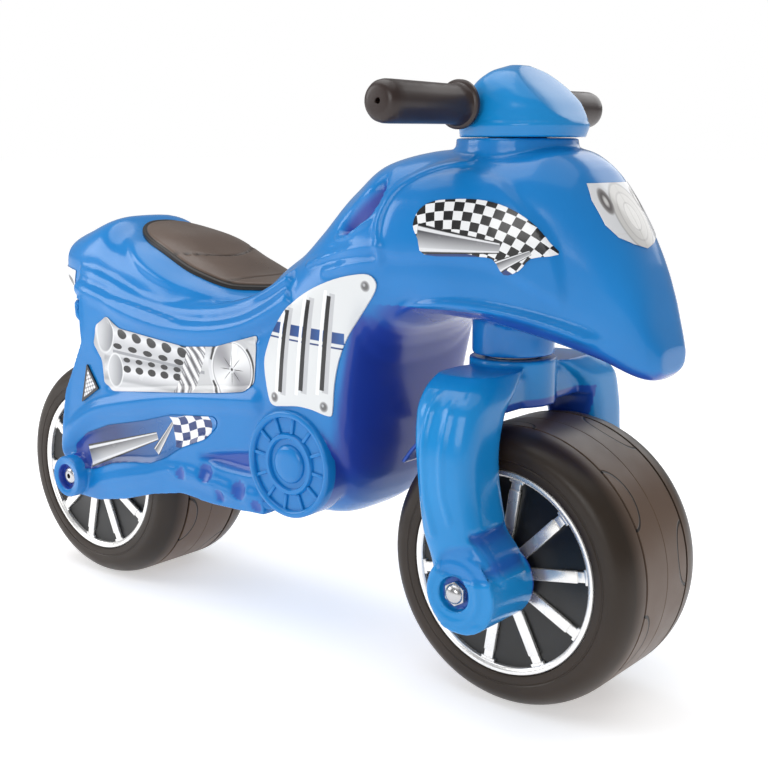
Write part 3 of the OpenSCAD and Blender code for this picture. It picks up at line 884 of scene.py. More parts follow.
def leg_section(side):
    def section(z, angle, reach):
        rear, front = along(LEG_REAR, z), along(LEG_FRONT, z)
        inner, outer = along(LEG_INNER, z), along(LEG_OUTER, z)
        x = (rear + front) / 2 + reach * (front - rear) / 2 * bulge(np.cos(angle), 3.4)
        y = (inner + outer) / 2 + reach * (outer - inner) / 2 * bulge(np.sin(angle), 4)
        return np.stack([x, side * y, z], 1)
    return section


parts = []
for side in SIDES.values():
    parts.append(tube("leg", 108, 258, 40, 64, leg_section(side)))
    lobe = [(0, LEG_GAP), (LOBE_R, LEG_GAP), (LOBE_R, LEG_Y), (0, LEG_Y)]
    parts.append(turned("lobe", lobe, LOBE_X, steps=64, side=side))
parts.append(bar("crown", (188, -72, CROWN_Z), (236, 72, CROWN_TOP), 8))
collar = [(0, CROWN_Z), (COLLAR_R, CROWN_Z), (COLLAR_R, COLLAR_Z), (0, COLLAR_Z)]
parts.append(turned("fork_collar", collar, STEER_X, 0, 64, upright=True))
fork = join(parts, "fork_skin")
fork.data.remesh_voxel_size = 2.0 * MM
only(fork)
bpy.ops.object.voxel_remesh()
print("leg and crown parts:", len(parts))

# %% Arch, recesses and mudguard
arch = [(0, -LEG_GAP), (ARCH_R, -LEG_GAP), (ARCH_R, LEG_GAP), (0, LEG_GAP)]
cut(fork, turned("arch", arch, FRONT_X, steps=128))
recess = [(0, NUT_FLOOR), (RECESS_R, NUT_FLOOR), (RECESS_R, 130), (0, 130)]
for side in SIDES.values():
    cut(fork, turned("recess", recess, FRONT_X, steps=48, side=side))
bpy.ops.mesh.primitive_circle_add(vertices=4, radius=1, fill_type="NGON")
guard = bpy.context.object
start = math.radians(GUARD_START)
corners = [(GUARD_IN, -1), (GUARD_OUT, -1), (GUARD_OUT, 1), (GUARD_IN, 1)]
for vertex, (r, end) in zip(guard.data.vertices, corners):
    vertex.co = ((FRONT_X - r * math.cos(start)) * MM, end * GUARD_HALF * MM,
                 (AXLE_Z + r * math.sin(start)) * MM)
edit_all(guard)
bpy.ops.mesh.spin(steps=16, angle=math.radians(GUARD_SPAN), axis=(0, 1, 0),
                  center=(FRONT_X * MM, 0, AXLE_Z * MM))
fork = fuse([fork, close(guard, "guard")], "fork_skin", 1.9, 3)
print("fork faces:", len(fork.data.polygons), "box:", [round(v / MM) for v in fork.dimensions])

# %% [markdown]
# ### Relief of the fork
# Two flutes run up each leg, a sunk step lies above the axle, and a raised ring runs round it. The
# same relief helper lays them on the fork's skin, and the hollows for the nuts are shaded dark.

# %% Flutes and steps of the fork
relief = Relief(fork, 66, 0.15)
relief.rib([(221, 150), (213, 175), (210, 205), (211, 232), (214, 246)], 5, 1.8)
relief.rib([(236, 160), (229, 180), (227, 205), (228, 230), (228, 244)], 4, 1.4)
relief.panel([(226, 121), (226, 136), (244, 146), (276, 146), (280, 124), (250, 117)], 2.5, 4, 0.2)
relief.rib([(FRONT_X + 21 * math.cos(a), AXLE_Z + 21 * math.sin(a))
            for a in np.linspace(0, 2 * math.pi, 24)], 4, 1.2)
relief.rib([(214, 90), (226, 84), (244, 82), (262, 88)], 3, 1.2)
normals = relief.normals()
front_face = ease(normals[:, 0], 0.5, 0.9) * ease(relief.out, 66, 70) * (relief.out < 118)
x, z = relief.spots.T
step_in = front_face * ease(z, 122, 128) * (1 - ease(z, 150, 156))
relief.points[:, 0] -= 4.0 * step_in
# Painted shade on the sunk step, the nut hollows, and inside the arch and the mudguard.
relief.darken(0.7 * step_in)
from_axle = np.hypot(x - FRONT_X, z - AXLE_Z)
relief.darken(0.8 * (from_axle < 12.5) * (relief.out < 117))
relief.darken(0.9 * (from_axle < ARCH_R + 7) * (relief.out < 66))
relief.finish()
dress(fork, FORK_BLUE, "steering", "front_fork", "fork_blue")
print("fork shade up to", relief.shade.max())

# %% [markdown]
# ## Headset cover
# A small dome covers the handlebar clamp. It is lofted upwards, with a rolled skirt at its foot.
# Its front is pressed back to a plane that slopes forward, which leaves the flat oval facet.

# %% Headset skin
HEAD_LOW, HEAD_TOP = 428.6, 481
HEAD_REAR = [(428.6, 169), (440, 169), (455, 173), (468, 182), (477, 195), (481, 206)]
HEAD_FRONT = [(428.6, 260), (440, 263), (450, 259), (462, 248), (473, 232), (481, 216)]
HEAD_HALF = [(428.6, 43), (438, 45), (450, 42), (466, 36), (476, 26), (481, 10)]


def head_section(z, angle, reach):
    rear, front = along(HEAD_REAR, z), along(HEAD_FRONT, z)
    x = (rear + front) / 2 + reach * (front - rear) / 2 * bulge(np.cos(angle), 2.4)
    y = reach * along(HEAD_HALF, z) * bulge(np.sin(angle), 2.4)
    return np.stack([x, y, z], 1)


head = tube("headset_skin", HEAD_LOW, HEAD_TOP, 60, 96, head_section)
head = fuse([head], "headset_skin", 1.5, 3)
p = places(head) / MM
facet = Vector((0.66, 0, 0.75)).normalized()
FACET_X, FACET_Z, PRESS = 229, 470, 0.8
ahead = np.clip(p[:, 0] * facet.x + p[:, 2] * facet.z - (FACET_X * facet.x + FACET_Z * facet.z),
                0, None)
p[:, 0] -= ahead * facet.x * PRESS
p[:, 2] -= ahead * facet.z * PRESS
skirt = 1 - ease(p[:, 2], 437, 441)
from_axis = p[:, :2] - (STEER_X, 0)
p[:, :2] -= from_axis * (0.035 * (1 - skirt) * (1 - ease(p[:, 2], 446, 458)))[:, None]
place(head, p * MM)
paint(head, "shade", np.zeros(len(p)))
dress(head, FORK_BLUE, "steering", "headset_cover", "blue_plastic")
print("headset faces:", len(head.data.polygons))

# %% [markdown]
# ## Wheels
# Each wheel is a hollow plastic drum that looks like a tyre, with a seam near each shoulder and
# half ovals engraved along it. It is round, so it is spun from one section. The thin engraved
# lines are drawn in the finish as a bump and a painted shade, where they stay sharp without a
# dense mesh. A painted highlight makes the tread paler.

# %% Tyres
CAP_Y, CAP_R, SLEEVE_R, CROWN, WHEEL_W = 52, 80, 14.02, 34, 59


def half_section():
    """The tyre from its sleeve to the middle of the tread: cap seat, rim groove, shoulder, seam."""
    path = [(SLEEVE_R, CAP_Y), (CAP_R, CAP_Y), (CAP_R, 57.6), (CAP_R + 0.5, 58.6),
            (CAP_R + 1.6, WHEEL_W), (86, WHEEL_W), (86.6, 58.5), (87.4, 58.5), (88, WHEEL_W),
            (91, WHEEL_W)]
    path += [(92 + 16 * math.cos(a), CROWN + 25 * math.sin(a))
             for a in np.radians(np.arange(86, 2, -6))]
    path += [(108, CROWN - 0.8), (106.2, CROWN - 1.4), (106.2, CROWN - 2.8), (108, CROWN - 3.4),
             (108, 0.6), (107.5, 0)]
    return path


TABS, TAB_SPAN, TAB_DEPTH, TAB_TURN, LINE_Y = 6, 26, 14, 52, CROWN - 2


def hypotenuse(tree, u, v):
    return calc(tree, "SQRT", calc(tree, "ADD", calc(tree, "POWER", u, 2), calc(tree, "POWER", v,
                                                                                2)))


def tyre_finish(name, x):
    """Dark brown plastic, paler on the tread as a painted highlight, with an engraved line round
    each half-oval tab that is darkened as painted shade.
    """
    mat = moulded(name, rgb(0.018, 0.011, 0.006), rgb(0.030, 0.019, 0.012), 0.38, grain=900,
                  gloss=0.35)
    tree, socket, colour = base_colour(mat)
    where = tree.nodes.new("ShaderNodeSeparateXYZ")
    link(tree, tree.nodes.new("ShaderNodeTexCoord").outputs["Object"], where.inputs[0])
    dx = calc(tree, "SUBTRACT", where.outputs["X"], x * MM)
    dz = calc(tree, "SUBTRACT", where.outputs["Z"], AXLE_Z * MM)
    angle = calc(tree, "MULTIPLY", calc(tree, "ARCTAN2", dz, dx), 180 / math.pi)
    y = calc(tree, "MULTIPLY", where.outputs["Y"], 1000)
    out = calc(tree, "ABSOLUTE", y)
    half_turn = calc(tree, "MULTIPLY", calc(tree, "GREATER_THAN", y, 0), 180 / TABS)
    turn = calc(tree, "ADD", calc(tree, "ADD", angle, half_turn), 360 + TAB_TURN)
    off = calc(tree, "SUBTRACT", calc(tree, "MODULO", turn, 360 / TABS), 180 / TABS)
    u = calc(tree, "DIVIDE", off, TAB_SPAN / 2)
    v = calc(tree, "DIVIDE", calc(tree, "SUBTRACT", LINE_Y, out), TAB_DEPTH)
    off = calc(tree, "ABSOLUTE", calc(tree, "SUBTRACT", hypotenuse(tree, u, v), 1))
    line = rescale(tree, off, 0.03, 0.07, 1, 0)
    line = calc(tree, "MULTIPLY", line, rescale(tree, out, CROWN - 1, CROWN - 2, 0, 1))
    seam = calc(tree, "ABSOLUTE", calc(tree, "SUBTRACT", out, LINE_Y))
    line = calc(tree, "MAXIMUM", line, rescale(tree, seam, 0.7, 1.1, 1, 0))
    # Painted highlight: the tread is drawn paler.
    tread = rescale(tree, out, CROWN + 12, CROWN - 6, 0, 1)
    colour = blend(tree, tread, colour, rgb(0.120, 0.075, 0.050))
    # Painted shade: the engraved lines round the tabs and the seams are darkened.
    link(tree, blend(tree, line, colour, rgb(0.010, 0.006, 0.004)), socket)
    groove = tree.nodes.new("ShaderNodeBump")
    groove.inputs["Distance"].default_value = 0.8 * MM
    link(tree, calc(tree, "SUBTRACT", 1, line), groove.inputs["Height"])
    fine = next(n for n in tree.nodes if n.type == "BUMP" and n != groove)
    link(tree, groove.outputs["Normal"], fine.inputs["Normal"])
    return mat


def tyre(name, x, body, node):
    outer = half_section()
    section = outer + [(r, -y) for r, y in reversed(outer[:-1])]
    obj = turned(name, section, x, steps=144)
    dress(obj, tyre_finish(name + "_plastic", x), body, node, "tyre_plastic", 35)
    return obj


front_tyre = tyre("front_tyre", FRONT_X, "front_wheel", "front_wheel_shell")
tyre("rear_tyre", REAR_X, "rear_wheel", "rear_wheel_shell")
print("tyre faces:", len(front_tyre.data.polygons))

# %% [markdown]
# ### Caps and spokes
# The chrome is one plated part on each side: a ring at the rim, a hub, and ten spokes between them.
# Modelling the ten by hand would let them drift, so one is built and copied at equal steps.

# %% Hub caps and chrome spokes
DISC = [(14.2, 52.05), (79.7, 52.05), (79.7, 54), (76, 54), (74.5, 53.2), (34, 53.2), (32, 54.2),
        (24, 54.2), (22.5, 56), (14.2, 56)]
RING = [(74.2, 53.6), (79.5, 53.6), (79.5, 57.4), (78.8, 58.3), (77.2, 58.6), (75.4, 58.0),
        (74.2, 56.6)]
HUB = [(14.3, 54), (22, 54), (22, 56.4), (21.2, 57), (15, 57), (14.3, 56.4)]
SPOKES = 10


def spoke(side):
    def block(half, inner, outer, low, high, bevel):
        ends = sorted([side * low, side * high])
        return bar("spoke", (-half, ends[0], inner), (half, ends[1], outer), bevel)
    long_bar = block(4.6, 20, 66, 53.4, 56.8, 1.0)
    tab = block(4.0, 63, 77, 53.4, 55.9, 0.6)
    foot = block(6.0, 71.5, 75.5, 53.4, 56.2, 0.7)
    return join([long_bar, tab, foot], "spoke")


def hub_set(wheel, x, first, side_name):
    """The black cap and the chrome of one side of a wheel."""
    side = SIDES[side_name]
    cap = turned(wheel + "_cap_" + side_name, DISC, x, side=side)
    ring = turned("ring", RING, x, side=side)
    hub = turned("hub", HUB, x, steps=64, side=side)
    one = spoke(side)
    place(one, places(one) + (x * MM, 0, AXLE_Z * MM))
    chrome = join([ring, hub] + copies_round(one, x, AXLE_Z, SPOKES, first),
                  wheel + "_chrome_" + side_name)
    for obj, mat, part, slot_name in [(cap, CAP, "_hub_cap_", "cap_black"),
                                      (chrome, CHROME, "_spokes_", "chrome_trim")]:
        dress(obj, mat, wheel + "_wheel", wheel + part + side_name, slot_name, 35)
    return chrome


FIRST_FRONT, FIRST_REAR = 9, 13
for side_name in SIDES:
    chrome = hub_set("front", FRONT_X, FIRST_FRONT, side_name)
    hub_set("rear", REAR_X, FIRST_REAR, side_name)
print("spokes per side:", SPOKES, "chrome faces:", len(chrome.data.polygons))

# %% [markdown]
# ## Prints
# The side panels, exhausts, lamps and flags are printed sheets laid on the moulding. Painting the
# pattern as an image is the usual way; here it is drawn by maths on Object coordinates, so it stays
# sharp at any size. A piece of the skin is copied, lifted off, given a thickness, and cut to its
# outline with a boolean, so that it follows every rib under it.


# %% Sheets that follow the skin
NOSE_X, NOSE_END, PRISM_OUT = 240, 350, 135


def sheet_on_skin(name, outline, side, inner=45, lift=0.35, thick=0.5, corner=0, across=False):
    """A thin sheet on the skin, inside an outline of (x, z), or of (y, z) seen from ahead."""
    edge = np.array(outline, float)
    low, high = edge.min(0) - 6, edge.max(0) + 6
    obj = twin(plain_skin)
    x, y, z = places(obj).T / MM
    seen = side * y if across else x
    near = (seen > low[0]) & (seen < high[0]) & (z > low[1]) & (z < high[1])
    near &= (x > NOSE_X) if across else (side * y > inner - 5)
    pick(obj, "VERT", lambda v: not near[v.index])
    bpy.ops.mesh.delete(type="VERT")
    object_mode()
    modify(obj, "DISPLACE", strength=lift * MM, mid_level=0)
    modify(obj, "SOLIDIFY", thickness=thick * MM, offset=1)
    if across:
        prism = plate("prism", [(-side * y, z) for y, z in outline], NOSE_X, NOSE_END, 1, corner)
        p = places(prism)
        place(prism, np.stack([p[:, 1], -p[:, 0], p[:, 2]], 1))
    else:
        prism = plate("prism", outline, inner, PRISM_OUT, side, corner)
    cut(obj, prism, "INTERSECT", use_self=True)
    obj.name = obj.data.name = name
    return obj


# %% [markdown]
# ### Drawing a print
# Each shape of a print is a mask: one inside it and nought outside, with a soft edge. A print keeps
# its colour so far, and lays the next shape over it, as a printer lays one ink over another.


# %% Drawing with maths
class Print:
    """A finish made of shapes laid one over another, by their place in mm seen from the side."""

    def __init__(self, name, ground, rough=0.25, metal=0.0, along_axis="X"):
        self.mat = moulded(name, ground, ground, rough, 0.04, 0.04, 900, metal, 0.2)
        self.tree, self.socket, self.colour = base_colour(self.mat)
        where = self.tree.nodes.new("ShaderNodeTexCoord").outputs["Object"]
        split = self.tree.nodes.new("ShaderNodeSeparateXYZ")
        link(self.tree, where, split.inputs[0])
        self.x = self.calc("MULTIPLY", split.outputs[along_axis], 1000)
        self.z = self.calc("MULTIPLY", split.outputs["Z"], 1000)

    def calc(self, operation, a, b=0.0, c=0.0):
        return calc(self.tree, operation, a, b, c)

    def axes(self, x, z, turn=0.0):
        """Distances along and across from a point, with the axes turned by some degrees."""
        c, s = math.cos(math.radians(turn)), math.sin(math.radians(turn))
        dx, dz = self.calc("SUBTRACT", self.x, x), self.calc("SUBTRACT", self.z, z)
        u = self.calc("MULTIPLY_ADD", dx, c, self.calc("MULTIPLY", dz, s))
        v = self.calc("MULTIPLY_ADD", dx, -s, self.calc("MULTIPLY", dz, c))
        return u, v

    def within(self, value, low, high, soft=0.25):
        """1 where low < value < high, with a soft edge."""
        centre, half = (low + high) / 2, (high - low) / 2
        away = self.calc("ABSOLUTE", self.calc("SUBTRACT", value, centre))
        return rescale(self.tree, away, half - soft, half + soft, 1, 0)

    def both(self, a, b):
        return self.calc("MULTIPLY", a, b)

    def block(self, u, u_range, v, v_range, soft_u=0.25, soft_v=0.25):
        return self.both(self.within(u, *u_range, soft_u), self.within(v, *v_range, soft_v))

    def box(self, x, z, half_u, half_v, turn=0.0):
        u, v = self.axes(x, z, turn)
        return self.block(u, (-half_u, half_u), v, (-half_v, half_v))

    def oval(self, u, v, ru, rv, soft=0.06):
        far = hypotenuse(self.tree, self.calc("DIVIDE", u, ru), self.calc("DIVIDE", v, rv))
        return rescale(self.tree, far, 1 - soft, 1 + soft, 1, 0)

    def fade(self, value, low, high, first, last):
        """A colour that passes from first to last while the value goes from low to high."""
        return blend(self.tree, rescale(self.tree, value, low, high, 0, 1), first, last)

    def every(self, value, step):
        """Distance from the middle of the nearest cell, where cells repeat at a step."""
        return self.calc("SUBTRACT", self.calc("MODULO", self.calc("ADD", value, 40.5 * step),
                                               step),
                         step / 2)

    def lay(self, mask, colour):
        self.colour = blend(self.tree, mask, self.colour, colour)

    def rings(self, u, v, ovals):
        """Ovals about one point, each of (half length, half height, softness, colour)."""
        for ru, rv, soft, colour in ovals:
            self.lay(self.oval(u, v, ru, rv, soft), colour)

    def done(self):
        link(self.tree, self.colour, self.socket)
        return self.mat


# %% Inks, and a sheet on each flank
INK, NAVY = rgb(0.006, 0.006, 0.007), rgb(0.010, 0.035, 0.16)
SILVER, PALE = rgb(0.42, 0.43, 0.45), rgb(0.72, 0.73, 0.75)


def put_on(name, outline, mat, slot_name, node, **settings):
    """One sheet on each flank, in place of the CAD's two."""
    counts = []
    for side_name, side in SIDES.items():
        obj = sheet_on_skin(name + "_" + side_name, outline, side, **settings)
        counts.append(len(obj.data.polygons))
        dress(obj, mat, "body", node + "_" + side_name, slot_name, 30)
    print(name, "faces on each side:", counts)


# %% [markdown]
# ### Side panels
# A white panel with three slanted black louvres, a blue stripe that runs behind them, and a bolt in
# three of its corners.

# %% Side panel print
art = Print("side_panel_print", rgb(0.68, 0.70, 0.71), 0.22)
stripe, rail = art.axes(60, 277, -2)
STRIPE, LEAN = (-36, 50), 84.5
blue_fade = art.fade(art.every(stripe, 22), -11, 11, rgb(0.006, 0.025, 0.13),
                     rgb(0.012, 0.11, 0.38))
art.lay(art.block(rail, (-4.5, 4.5), stripe, STRIPE), blue_fade)
art.lay(art.block(rail, (-8.6, -7.2), stripe, STRIPE), NAVY)
for x, z, half in [(43, 259, 34), (67, 266, 37), (90, 270, 38)]:
    art.lay(art.box(x + 3.6, z, half + 2, 3.2, LEAN), rgb(0.50, 0.51, 0.53))
    art.lay(art.box(x - 4.5, z, half + 4, 1.6, LEAN), rgb(0.90, 0.91, 0.92))
    art.lay(art.box(x, z, half, 2.3, LEAN), INK)
for x, z in [(131, 318), (33, 220), (88, 219)]:
    u, v = art.axes(x, z)
    art.rings(u, v, [(4.2, 4.2, 0.12, rgb(0.30, 0.30, 0.31)), (3, 3, 0.2, rgb(0.12, 0.12, 0.12))])
    art.rings(*art.axes(x - 0.9, z + 0.9), [(1.2, 1.2, 0.4, SILVER)])
PANEL = [(20, 246), (24, 262), (31, 277), (42, 291), (57, 303), (76, 313), (98, 321), (120, 326),
         (134, 327), (141, 322), (139, 314), (126, 298), (113, 278), (104, 258), (99, 238),
         (96, 216),
         (92, 212), (76, 215), (60, 216), (44, 214), (31, 213), (25, 220)]
put_on("side_cover", rounded(PANEL, True, 3), art.done(), "white_sticker", "side_panel", thick=1.1)

# %% [markdown]
# ### Exhaust print
# Two perforated silencers lie over each other, a coil spring crosses them, and a round clutch cover
# sits at the front. Rows of holes are one oval repeated with a modulo.

# %% Silencers
art = Print("exhaust_print", rgb(0.55, 0.56, 0.57), 0.24)
SHADOW, LOWER = rgb(0.30, 0.31, 0.33), (-72, 46)
u, v = art.axes(-140, 246, -5)
art.lay(art.within(u, -70, 66, 1), art.fade(v, -14, 14, rgb(0.60, 0.61, 0.63), SHADOW))
art.lay(art.within(v, -1, 8, 5), rgb(0.76, 0.77, 0.79))
u, v = art.axes(-120, 221)
art.lay(art.block(u, LOWER, v, (-13, 10), 1, 1), SILVER)
art.lay(art.block(u, LOWER, v, (-7, 3), 1, 4), rgb(0.74, 0.75, 0.77))
art.lay(art.box(-118, 232.5, 62, 1.4, -3), SHADOW)
for x, z, turn, step, ru, rv in [(-123, 258, -8, 21, 6.0, 3.0), (-125, 248.5, -6, 20.5, 6.4, 4.6),
                                 (-131, 238, -4, 21, 6.2, 2.6), (-126, 228.6, -1, 17.2, 4.8, 2.3),
                                 (-126, 221, 0.5, 17.2, 5.4, 3.3)]:
    u, v = art.axes(x, z, turn)
    hole = art.oval(art.every(u, step), v, ru, rv)
    art.lay(art.both(hole, art.within(u, -2.5 * step, 2.5 * step)), INK)
for x, z, ru, rv, turn in [(-190, 251, 11, 17, -8), (-177, 218, 10, 15, -4)]:
    mouth = art.axes(x, z, turn)
    inner_wall = art.fade(mouth[0], -10, 10, rgb(0.62, 0.63, 0.65), rgb(0.22, 0.23, 0.25))
    art.rings(*mouth, [(ru + 1.2, rv + 1.2, 0.06, rgb(0.82, 0.83, 0.84)),
                       (ru, rv, 0.06, inner_wall)])
print("silencers drawn with", len(art.tree.nodes), "nodes so far")

# %% Spring and clutch cover
u, v = art.axes(-72, 232, 68)
LENGTH, DARK = (-34, 34), rgb(0.10, 0.10, 0.11)
SLANT, PITCH = -0.6, 9.5
coil = art.calc("ABSOLUTE", art.every(art.calc("MULTIPLY_ADD", v, SLANT, u), PITCH))
spring = art.block(u, LENGTH, v, (-11, 11))
art.lay(art.block(u, LENGTH, v, (-6, 6), 0.25, 2), DARK)
for half, soft, colour in [(4.0, 0.25, DARK), (3.0, 0.5, rgb(0.42, 0.42, 0.44)),
                           (1.5, 0.8, rgb(0.92, 0.93, 0.94))]:
    art.lay(art.both(spring, art.within(coil, -half, half, soft)), colour)
CLUTCH = (-22, 236)
u, v = art.axes(*CLUTCH)
rim_fade = art.fade(v, -20, 20, rgb(0.75, 0.76, 0.78), rgb(0.50, 0.51, 0.53))
art.rings(u, v, [(29, 29, 0.02, rim_fade)])
around = art.calc("ARCTAN2", v, u)
arcs = art.calc("SINE", art.calc("MULTIPLY_ADD", around, 3, 1.2))
slots = rescale(art.tree, arcs, -0.55, -0.45, 0, 1)
art.lay(art.both(art.oval(u, v, 27.5, 27.5, 0.02), slots), INK)
sheen = art.fade(art.calc("SINE", art.calc("MULTIPLY", around, 2)), -1, 1,
                 rgb(0.28, 0.28, 0.30), rgb(0.80, 0.81, 0.82))
art.rings(u, v, [(25, 25, 0.02, rgb(0.78, 0.79, 0.80)), (23.5, 23.5, 0.02, rgb(0.30, 0.30, 0.32)),
                 (22.6, 22.6, 0.02, sheen)])
bridge, beside = art.axes(*CLUTCH, 78)
art.lay(art.block(bridge, (3, 23), beside, (-3, 3)), rgb(0.86, 0.87, 0.88))
ray = art.calc("ABSOLUTE", art.calc("SINE", art.calc("MULTIPLY", around, 4)))
spider = art.calc("LESS_THAN", art.calc("MULTIPLY", ray, hypotenuse(art.tree, u, v)), 1.1)
art.lay(art.both(art.oval(u, v, 12, 12, 0.2), spider), INK)
art.rings(u, v, [(3, 3, 0.3, PALE), (1.4, 1.4, 0.3, INK)])
put_on("exhaust_print", EXHAUST, art.done(), "silver_print", "exhaust_sticker", corner=3)

# %% [markdown]
# ### Swingarm print
# A navy field that pales to the front, a waving chequered flag at its end and a plain silver dart.


# %% Chequers and darts
def chequers(art, u, v, step_u, step_v, region, dark, pale):
    """Squares over a region, dark where the two cell numbers add up to an odd one."""
    cell = art.calc("ADD", art.calc("FLOOR", art.calc("DIVIDE", u, step_u)),
                    art.calc("FLOOR", art.calc("DIVIDE", v, step_v)))
    odd = art.calc("GREATER_THAN", art.calc("MODULO", art.calc("ADD", cell, 400), 2), 0.5)
    art.lay(region, blend(art.tree, odd, pale, dark))


def dart(art, x, z, turn, length, width):
    """A tapering bar with an ink edge, a pale border and a core that fades from pale to dark."""
    u, v = art.axes(x, z, turn)
    taper = rescale(art.tree, u, -length, length, width, width * 0.35)
    across = art.calc("DIVIDE", art.calc("ABSOLUTE", v), taper)
    span = art.within(u, -length, length, 0.4)
    shine = art.fade(art.calc("DIVIDE", v, width), -0.6, 0.6, rgb(0.60, 0.61, 0.63),
                     rgb(0.03, 0.03, 0.04))
    for low, high, colour in [(0.98, 1.06, INK), (0.80, 0.88, PALE), (0.55, 0.62, shine)]:
        art.lay(art.both(span, rescale(art.tree, across, low, high, 1, 0)), colour)


art = Print("swingarm_print", NAVY, 0.25)
u, v = art.axes(-140, 155, 15)
art.lay(rescale(art.tree, u, -40, 100, 0, 1), rgb(0.012, 0.20, 0.56))
art.lay(rescale(art.tree, u, -60, -110, 0, 0.9), rgb(0.02, 0.06, 0.42))
u, v = art.axes(-98, 163, 12)
wave = art.calc("MULTIPLY", art.calc("SINE", art.calc("MULTIPLY", u, 0.12)), 1.6)
v = art.calc("ADD", v, wave)
chequers(art, u, v, 10.5, 7.2, art.block(u, (0, 52), v, (-6, 22)), NAVY, rgb(0.82, 0.83, 0.85))
dart(art, -172, 146, 19, 52, 11)
dart(art, -113, 163, 52, 19, 4.5)
put_on("swingarm_print", SWINGARM, art.done(), "navy_print", "swingarm_sticker", corner=3, lift=0.3)

# %% [markdown]
# ### Fairing print
# A fan of chequers spreads over a plain silver dart. The squares follow rings and rays about a
# point below the print, so they are reckoned in radius and angle.

# %% Fairing print
art = Print("fairing_print", NAVY, 0.25)
FAN = (209, 268)
u, v = art.axes(*FAN)
radius = hypotenuse(art.tree, u, v)
angle = art.calc("MULTIPLY", art.calc("ARCTAN2", u, v), 57.3)
chequers(art, angle, radius, 3.9, 6.4, art.within(radius, 80, 200), INK, rgb(0.80, 0.81, 0.82))
dart(art, 213, 354, -4, 32, 11)
dart(art, 253, 343, 26, 14, 5)
FAN_OUTLINE = [(177, 366), (181, 377), (191, 383), (207, 385), (226, 385), (242, 382), (256, 376),
               (268, 367), (277, 356), (282, 348), (266, 345), (258, 336), (247, 333), (240, 344),
               (221, 345), (188, 345), (182, 356)]
put_on("fairing_print", rounded(FAN_OUTLINE, True, 3), art.done(), "white_sticker",
       "fairing_sticker")

# %% [markdown]
# ### Lamps and reflectors
# The front lamp is one print that wraps round the nose, a pearly lens with rings and a small dark
# oval towards each side. It is cut in two at the middle plane, and each half is drawn by its
# distance from there. The tail lamp is an oval in a pale frame, and the reflector a triangle of
# small round prisms.

# %% Front lamp
art = Print("headlamp_print", rgb(0.72, 0.73, 0.75), 0.15, along_axis="Y")
art.x = art.calc("ABSOLUTE", art.x)
art.lay(art.box(0, 362, 31.5, 0.5, 0), rgb(0.70, 0.70, 0.71))
u, v = art.axes(0, 373)
for ru, rv, colour in [(20.5, 23.5, rgb(0.34, 0.34, 0.34)), (19.5, 22.5, rgb(0.66, 0.65, 0.63)),
                       (14.5, 17, rgb(0.50, 0.49, 0.48)), (13.6, 16, rgb(0.70, 0.69, 0.67)),
                       (8, 10, rgb(0.55, 0.54, 0.53)), (7.2, 9, rgb(0.76, 0.75, 0.73))]:
    art.lay(art.oval(u, v, ru, rv, 0.04), colour)
art.rings(*art.axes(22.5, 384, 8), [(5.6, 9.0, 0.1, rgb(0.30, 0.29, 0.29)),
                                    (4.2, 7.2, 0.2, rgb(0.14, 0.13, 0.13)),
                                    (1.8, 3.4, 0.4, rgb(0.62, 0.61, 0.60))])
HALF_LAMP = [(0.1, 396.5), (29, 396.5), (33, 385), (32.5, 368), (27, 359.5), (15, 354.5),
             (0.1, 351)]
put_on("headlamp", HALF_LAMP, art.done(), "white_sticker", "headlight", across=True)

# %% Tail lamps and reflectors
art = Print("tail_lamp_print", rgb(0.74, 0.75, 0.78), 0.25)
art.rings(*art.axes(-268, 294, -12), [(10, 5.5, 0.1, rgb(0.30, 0.30, 0.31)),
                                      (8.8, 4.4, 0.1, INK)])
TAIL_LAMP = [(-285, 292), (-283, 309), (-250, 305), (-260, 283), (-276, 279)]
put_on("tail_lamp", TAIL_LAMP, art.done(), "white_sticker", "tail_light", corner=1.5, inner=20)

art = Print("reflector_print", rgb(0.22, 0.22, 0.24), 0.12)
u, v = art.axes(-214, 200, 20)
PRISM = 3.6
art.rings(art.every(u, PRISM), art.every(v, PRISM), [(1.5, 1.5, 0.3, rgb(0.80, 0.80, 0.82))])
for x, z, turn in [(-213, 190, 32), (-221, 201, 75), (-208, 209, -54)]:
    edge = art.axes(x, z, turn)[1]
    art.lay(art.within(edge, -2.4, 2.4), rgb(0.012, 0.012, 0.014))
put_on("reflector_face", [(-226, 182), (-200, 198), (-216, 220)], art.done(), "pearl_reflector",
       "reflector", corner=1.2, thick=1.6)
bpy.data.objects.remove(plain_skin)

# %% [markdown]
# ## Bright metal and grips
# The axle nuts are acorn nuts and the rear caps are domed screws. The grips are turned, with a
# flange next to the cover and a small vent in the rounded end.


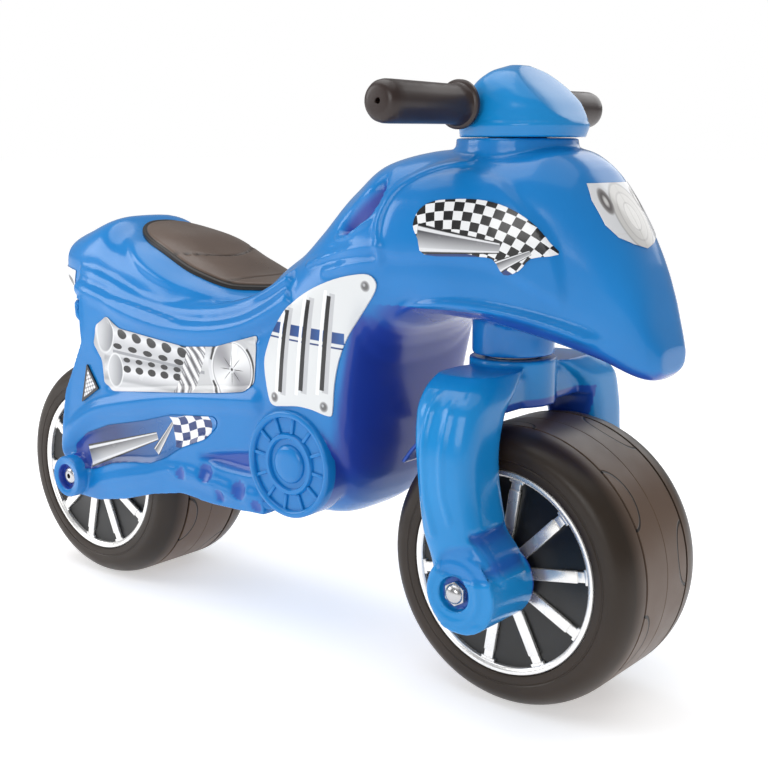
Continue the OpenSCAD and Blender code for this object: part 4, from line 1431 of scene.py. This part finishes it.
# %% Nuts, caps and grips
NUT_R, NUT_Y, NUT_THICK = 9.4, 114.5, 5
DOME = [(0, 116), (7, 116), (7.4, 117)]
DOME += [(7.2 * math.cos(a), 117 + 3.9 * math.sin(a)) for a in np.radians([10, 30, 50, 70])]
DOME += [(0, 120.9)]
SCREW = [(0, 88.2), (7.8, 88.2), (7.9, 89.2), (6.8, 90.4), (4.5, 91), (2.4, 91), (2.2, 90), (0, 90)]
GRIP_LINE = [(10.1, 46), (17, 46), (17.9, 46.8), (17.9, 49.4), (17, 50.2), (15.6, 50.8),
             (14.6, 52.5), (14.3, 60), (14.6, 90), (15, 128), (14.9, 134), (14.2, 137.6),
             (12.6, 140.2), (10.4, 141.5), (8, 141.9), (2.6, 141.9), (2.1, 141.4), (2.1, 136),
             (10.1, 135)]


def acorn_nut(side):
    bpy.ops.mesh.primitive_cylinder_add(vertices=6, radius=NUT_R * MM, depth=NUT_THICK * MM,
                                        location=(FRONT_X * MM, side * NUT_Y * MM, AXLE_Z * MM),
                                        rotation=(math.pi / 2, 0, 0))
    hexagon = rounded_off(bpy.context.object, "hexagon", 0.7)
    return join([hexagon, turned("nut_dome", DOME, FRONT_X, steps=48, side=side)], "nut")


nuts = join([acorn_nut(side) for side in SIDES.values()], "axle_nuts")
screws = join([turned("screw", SCREW, REAR_X, steps=48, side=side) for side in SIDES.values()],
              "rear_screws")
small = [(nuts, STEEL, "steering", "front_axle_nuts", "steel"),
         (screws, STEEL, "body", "rear_axle_caps", "steel")]
for side_name, side in SIDES.items():
    grip = turned("grip", GRIP_LINE, round(BAR.x), round(BAR.z), 72, side)
    small.append((grip, GRIP, "steering", "grip_" + side_name, "grip_plastic"))
for obj, mat, body, node, slot_name in small:
    obj.name = obj.data.name = "new_" + node
    dress(obj, mat, body, node, slot_name, 35)
print("small parts:", [o.name for o, *rest in small])

# %% [markdown]
# ## Parts that stay as the CAD made them
# Shafts, spacers and bushes are plain turned parts and mostly hidden, so they keep their CAD shape
# and only get a finish.

# %% Finishes of the plain CAD parts
plain = {"lower_bush": BUSH, "upper_bush": BUSH, "rear_axle": STEEL, "rear_spacers": STEEL,
         "steering_column": STEEL, "column_nut": STEEL, "handlebar_tube": STEEL,
         "front_axle": STEEL,
         "front_spacers": STEEL, "front_wheel_sleeve": CAP, "rear_wheel_sleeve": CAP}
for node, mat in plain.items():
    wear(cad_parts[node], mat)
print("CAD parts with a new finish:", len(plain))
